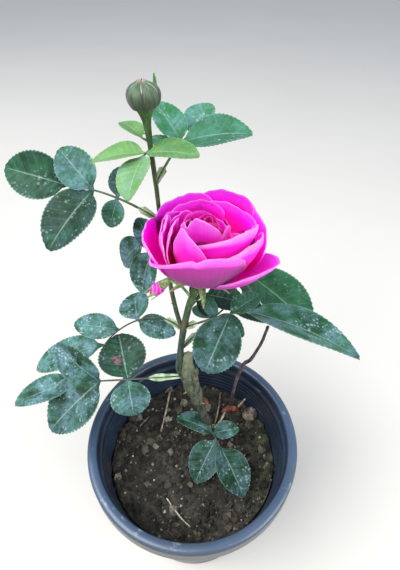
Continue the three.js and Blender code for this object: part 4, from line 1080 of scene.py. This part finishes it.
petal_skin, tree, shader, spot = finish_of(
    "petal_skin", Roughness=0.55, Sheen_Weight=0.02, Sheen_Roughness=0.4, Specular_IOR_Level=0.12,
    Subsurface_Weight=0.9, Subsurface_Scale=0.006)
shader.inputs["Subsurface Radius"].default_value = (0.8, 0.15, 0.8)
up_petal = part_of(tree, own_map(tree), "Y")
marks = {key: mark(tree, key) for key in ("outer", "dull", "deep")}
lines = grain(tree, streaked(tree, own_map(tree), 46, 2.2, 1), 1.0, 3.0)
# From foot to rim the petal colours climb from dark crimson, painted shade deep in the bloom, through the
# petals' own magenta to pale pink, a painted highlight along the rims.
inner_face = banded(tree, up_petal, (0, "#a80018"), (0.3, "#dc0044"), (0.55, "#fc0084"),
                    (0.8, "#ff0cbc"), (0.95, "#ff38e4"), (1, "#ff84f0"))
outer_face = banded(tree, up_petal, (0, "#c01c48"), (0.45, "#f428a0"), (0.8, "#ff2cd0"), (1, "#ff84f0"))
# The outer face of the front guard petals: their own duller violet, darkened further as painted shade under
# the bloom, and pale at the rim as a painted highlight.
guard_face_dull_and_shaded = banded(tree, up_petal, (0, "#583a52"), (0.6, "#70406a"), (0.88, "#963e88"), (1, "#ff70e0"))
outside = mixed(tree, marks["dull"], outer_face, guard_face_dull_and_shaded)
pink = mixed(tree, marks["outer"], inner_face, outside)
# Painted shade: petals set deep in the bloom are mixed towards dark crimson, for the shade and red
# inter-reflection inside the cup.
pink = mixed(tree, between(tree, marks["deep"], 0.62, 0.8, 0.0, 0.92), pink, "#b0003c")
pink = mixed(tree, between(tree, lines, 0.4, 0.75, 0.0, 0.22), pink, "#c000a0")
coat(tree, shader, pink)
relief(tree, shader, lines, 0.0002, 0.6)

bloom = Gathered()
bloom.take(*revolve(HEART, 32, BLOOM_AT, BLOOM_AXIS))
for k, shape in enumerate(PETALS):
    dull, deep = shape.pop("dull", 0), shape.pop("deep", k / len(PETALS))
    verts, faces, uv, outer_side = petal(seed=k, **shape)
    bloom.take(verts, faces, uv=uv, outer=outer_side, dull=dull, deep=deep)
fit(bloom.piece("bloom_petals", [petal_skin], crease=75), "petal", "bloom")


# Top bud
# The closed bud at the tip of the tall shoot: a rounded hip, a swollen green bud with brownish-pink folds
# at its tip, and five sepals pressed up its sides. A small loose one stands away from it.
TOP_AT, TOP_AXIS = BUD_SHOOT[-1][:3], (-0.05, 0.02, 1)
BUD_HIP = [(0, -0.5), (1.9, -0.5), (2, 0.6), (2.3, 1.8), (2.7, 3), (3.2, 4.2), (3.8, 5.4), (4.1, 6.6),
           (2.6, 7.4), (0, 7.4)]
BUD_HEART = [(0, 5.6), (2, 5.7), (3.6, 6), (4.8, 6.6), (5.6, 7.5), (6.1, 8.7), (6.35, 10), (6.4, 11.2),
             (6.2, 12.4), (5.7, 13.5), (4.9, 14.5), (3.9, 15.3), (2.9, 15.8), (1.8, 16.2), (0.9, 16.4),
             (0, 16.5)]
SEPALS_COUNT, SEPALS_TURN, SEPAL_SKIN, SEPAL_SPREAD = 5, 20, 0.35, 38
LOOSE_SEPAL_FOOT = (TOP_AT[0], TOP_AT[1], TOP_AT[2] + 10)
LOOSE_SEPAL = dict(count=1, r=5.8, L=8.5, W=2.2, lean=16, bend=-24, turn=45)


def hugging_sepal(turn, seed, rows=30, cols=10):
    """A sepal pressed on the bud: a thin skin over its side that narrows to a crumpled point at the tip."""
    a, b, c = side_frame(TOP_AXIS)
    path = np.array(BUD_HEART[1:])
    reach = np.concatenate([[0], np.cumsum(np.hypot(*np.diff(path, axis=0).T))])
    grid, lift = np.zeros((rows + 1, cols + 1, 3)), np.zeros((rows + 1, cols + 1, 3))
    for i, j in np.ndindex(rows + 1, cols + 1):
        x, v = i / rows, 2 * j / cols - 1
        r, z = (np.interp(x * 0.985 * reach[-1], reach, path[:, k]) for k in (0, 1))
        half = SEPAL_SPREAD * (1 - 0.25 * x ** 4) * (1 + 0.06 * math.sin(9 * x + seed))
        w = math.radians(turn + half * v)
        out = a * math.cos(w) + b * math.sin(w)
        ridge = 0.85 * (1 - abs(v) ** 1.6) + 0.25 * math.sin(14 * v + seed) * max(0, x - 0.75) * 4
        tip = max(0, x - 0.86) / 0.14
        outward = r + 0.25 + ridge - 0.4 * tip
        upward = z + 1.2 * tip ** 2 * (1 - abs(v))
        grid[i, j] = np.array(TOP_AT) + out * outward + c * upward
        lift[i, j] = (out * 0.8 + c * 0.3) * SEPAL_SKIN / 2
    verts, faces = shell(grid + lift, grid - lift)
    uv = [(j / cols, i / rows) for i, j in np.ndindex(rows + 1, cols + 1)]
    return verts, faces, np.array(uv * 2)


bud_skin, tree, shader, spot = finish_of("bud_skin", Roughness=0.5, Sheen_Weight=0.1)
across, up_bud = (part_of(tree, own_map(tree), letter) for letter in "XY")
strands = grain(tree, streaked(tree, own_map(tree), 14, 3, 1), 1.0, 4.0)
# Painted light: darker green low on the bud, paler teal-green towards its top, as lit from above.
rise = between(tree, up_bud, 0.3, 0.95)
closed = mixed(tree, between(tree, strands, 0.35, 0.7), mixed(tree, rise, "#1a2b14", "#344e36"),
               mixed(tree, rise, "#384d2c", "#6c8266"))
aside = maths(tree, "ABSOLUTE", maths(tree, "MULTIPLY_ADD", across, 2.0, -1.0))
# Painted shade: a dark band near each sepal's edges, along the creases between sepals.
closed = mixed(tree, between(tree, aside, 0.72, 0.9, 0.0, 0.85), closed, "#1c2a18")
# Painted highlight: a pale line along the sepal edges on the bud's upper part.
rim = times(tree, between(tree, aside, 0.93, 0.99), between(tree, up_bud, 0.35, 0.7))
closed = mixed(tree, rim, closed, "#b8cfae")
tip = between(tree, maths(tree, "ADD", up_bud, times(tree, strands, 0.16)), 0.98, 1.1)
coat(tree, shader, mixed(tree, tip, closed, "#b49a92"))
relief(tree, shader, strands, 0.0004)
bud_heart, tree, shader, spot = finish_of("bud_heart", Roughness=0.5)
coat(tree, shader, mottled(tree, spot, 500.0, "#3c4d33", "#7a4a52"))

top_bud = Gathered()
top_bud.take(*revolve(BUD_HIP, 24, TOP_AT, TOP_AXIS), kind=2)
top_bud.take(*revolve(BUD_HEART, 32, TOP_AT, TOP_AXIS), kind=1)
for i in range(SEPALS_COUNT):
    verts, faces, uv = hugging_sepal(SEPALS_TURN + 360 / SEPALS_COUNT * i, i)
    top_bud.take(verts, faces, uv=uv)
for verts, faces, uv, under in sepals(LOOSE_SEPAL_FOOT, TOP_AXIS, **LOOSE_SEPAL):
    top_bud.take(verts, faces, kind=3, uv=uv)
fit(top_bud.piece("top_bud_sepals", [bud_skin, bud_heart, green_bark, young_blade]), "sepal", "top_bud")


# Side bud
# A small pink bud that hangs to the left under the bloom, on a short green stalk of its own. The stalk
# ends in a cup, and the bud sits in it.
SIDE_STALK = [(0.6, 23.4, 206, 0.8), (-4.4, 24.6, 213.2, 0.75), (-10.4, 26.1, 216.5, 0.9)]
SIDE_AT, SIDE_AXIS = (-10.4, 26.1, 216.5), (-0.73, -0.1, -0.64)
SIDE_CUP = [(0, -0.4), (0.9, -0.3), (1.5, 0.4), (1.9, 1.4), (2.1, 2.6), (2.2, 3.6), (1.9, 4.3), (0, 4.3)]
SIDE_HEART = [(0, 4.2), (1.7, 4.4), (2.5, 5.2), (3, 6.4), (3.2, 7.8), (3.05, 9.2), (2.5, 10.8),
              (1.7, 12.2), (0.8, 13.2), (0, 13.5)]
SIDE_SEPALS = dict(count=5, r=1.9, L=12, W=1.7, lean=14, bend=-22, turn=30)
bud_petal, tree, shader, spot = finish_of(
    "bud_petal", Roughness=0.5, Subsurface_Weight=0.5, Subsurface_Scale=0.004)
shader.inputs["Subsurface Radius"].default_value = (1.0, 0.15, 0.8)
wrapped = add(tree, "ShaderNodeTexWave",
              {"Vector": spot, "Scale": 160.0, "Distortion": 3.0, "Detail": 1.0},
              bands_direction="X").outputs["Fac"]
coat(tree, shader, mixed(tree, between(tree, wrapped, 0.2, 0.9), "#cc149c", "#f05cd8"))
relief(tree, shader, wrapped, 0.0006)
side_bud = Gathered()
side_bud.take(*limb(SIDE_STALK, 20, 12))
side_bud.take(*revolve(SIDE_CUP, 20, SIDE_AT, SIDE_AXIS))
a, b, c = side_frame(SIDE_AXIS)
for verts, faces, uv, under in sepals(np.array(SIDE_AT) + 3 * c, SIDE_AXIS, **SIDE_SEPALS):
    side_bud.take(verts, faces, uv=uv, under=under)
fit(side_bud.piece("side_bud_cup", [sepal_green]), "sepal", "side_bud_stalk")
side_petals = piece("side_bud_petals", *revolve(SIDE_HEART, 24, SIDE_AT, SIDE_AXIS), [bud_petal])
fit(side_petals, "bud_petal", "side_bud")


# Floor, light and camera
# A plain pale studio floor, one wide soft light high on the left with a weaker one on the right, and the
# camera close above the plant, looking down at it as in the photograph.
LAMPS = [("high_left", (-0.7, -0.3, 1.3), 1.2, 30), ("low_right", (1.0, -0.6, 0.7), 0.9, 14)]
LAMPS_AIM = (0, 0.02, 0.18)
SKY, SKY_POWER = "#dde8f6", 0.8
FLOOR_HALF = 3000
# The focal length and the height of the photograph in pixels, the camera's place, the degrees it looks down
FOCAL_PX, PHOTO_HEIGHT_PX, SENSOR = 401, 570, 36
CAMERA_AT, CAMERA_DOWN = (4.7, -120.3, 349.4), 43
floor_paint, tree, shader, spot = finish_of("floor_paint", Roughness=0.9)
coat(tree, shader, mixed(tree, grain(tree, spot, 3.0), "#cbc7c0", "#d3cfc8"))
corners = [(x * FLOOR_HALF, y * FLOOR_HALF, 0) for x, y in [(-1, -1), (1, -1), (1, 1), (-1, 1)]]
floor = piece("studio_floor", corners, [(0, 1, 2, 3)], [floor_paint])

for name, at, size, power in LAMPS:
    lamp = bpy.data.lights.new(name, "AREA")
    lamp.size, lamp.energy = size, power
    lamp = bpy.data.objects.new(name, lamp)
    lamp.location = at
    lamp.rotation_euler = (Vector(LAMPS_AIM) - Vector(at)).to_track_quat("-Z", "Y").to_euler()
    bpy.context.scene.collection.objects.link(lamp)
sky = bpy.data.worlds.new("studio_light")
sky.use_nodes = True
sky.node_tree.nodes["Background"].inputs["Color"].default_value = paint(SKY)
sky.node_tree.nodes["Background"].inputs["Strength"].default_value = SKY_POWER
bpy.context.scene.world = sky
bpy.context.scene.view_settings.view_transform = "Standard"

lens = bpy.data.cameras.new("photo_view")
lens.sensor_width, lens.lens = SENSOR, SENSOR * FOCAL_PX / PHOTO_HEIGHT_PX
camera = bpy.data.objects.new("photo_view", lens)
camera.location = [c * MM for c in CAMERA_AT]
camera.rotation_euler = (math.radians(90 - CAMERA_DOWN), 0, 0)
bpy.context.scene.collection.objects.link(camera)
bpy.context.scene.camera = camera
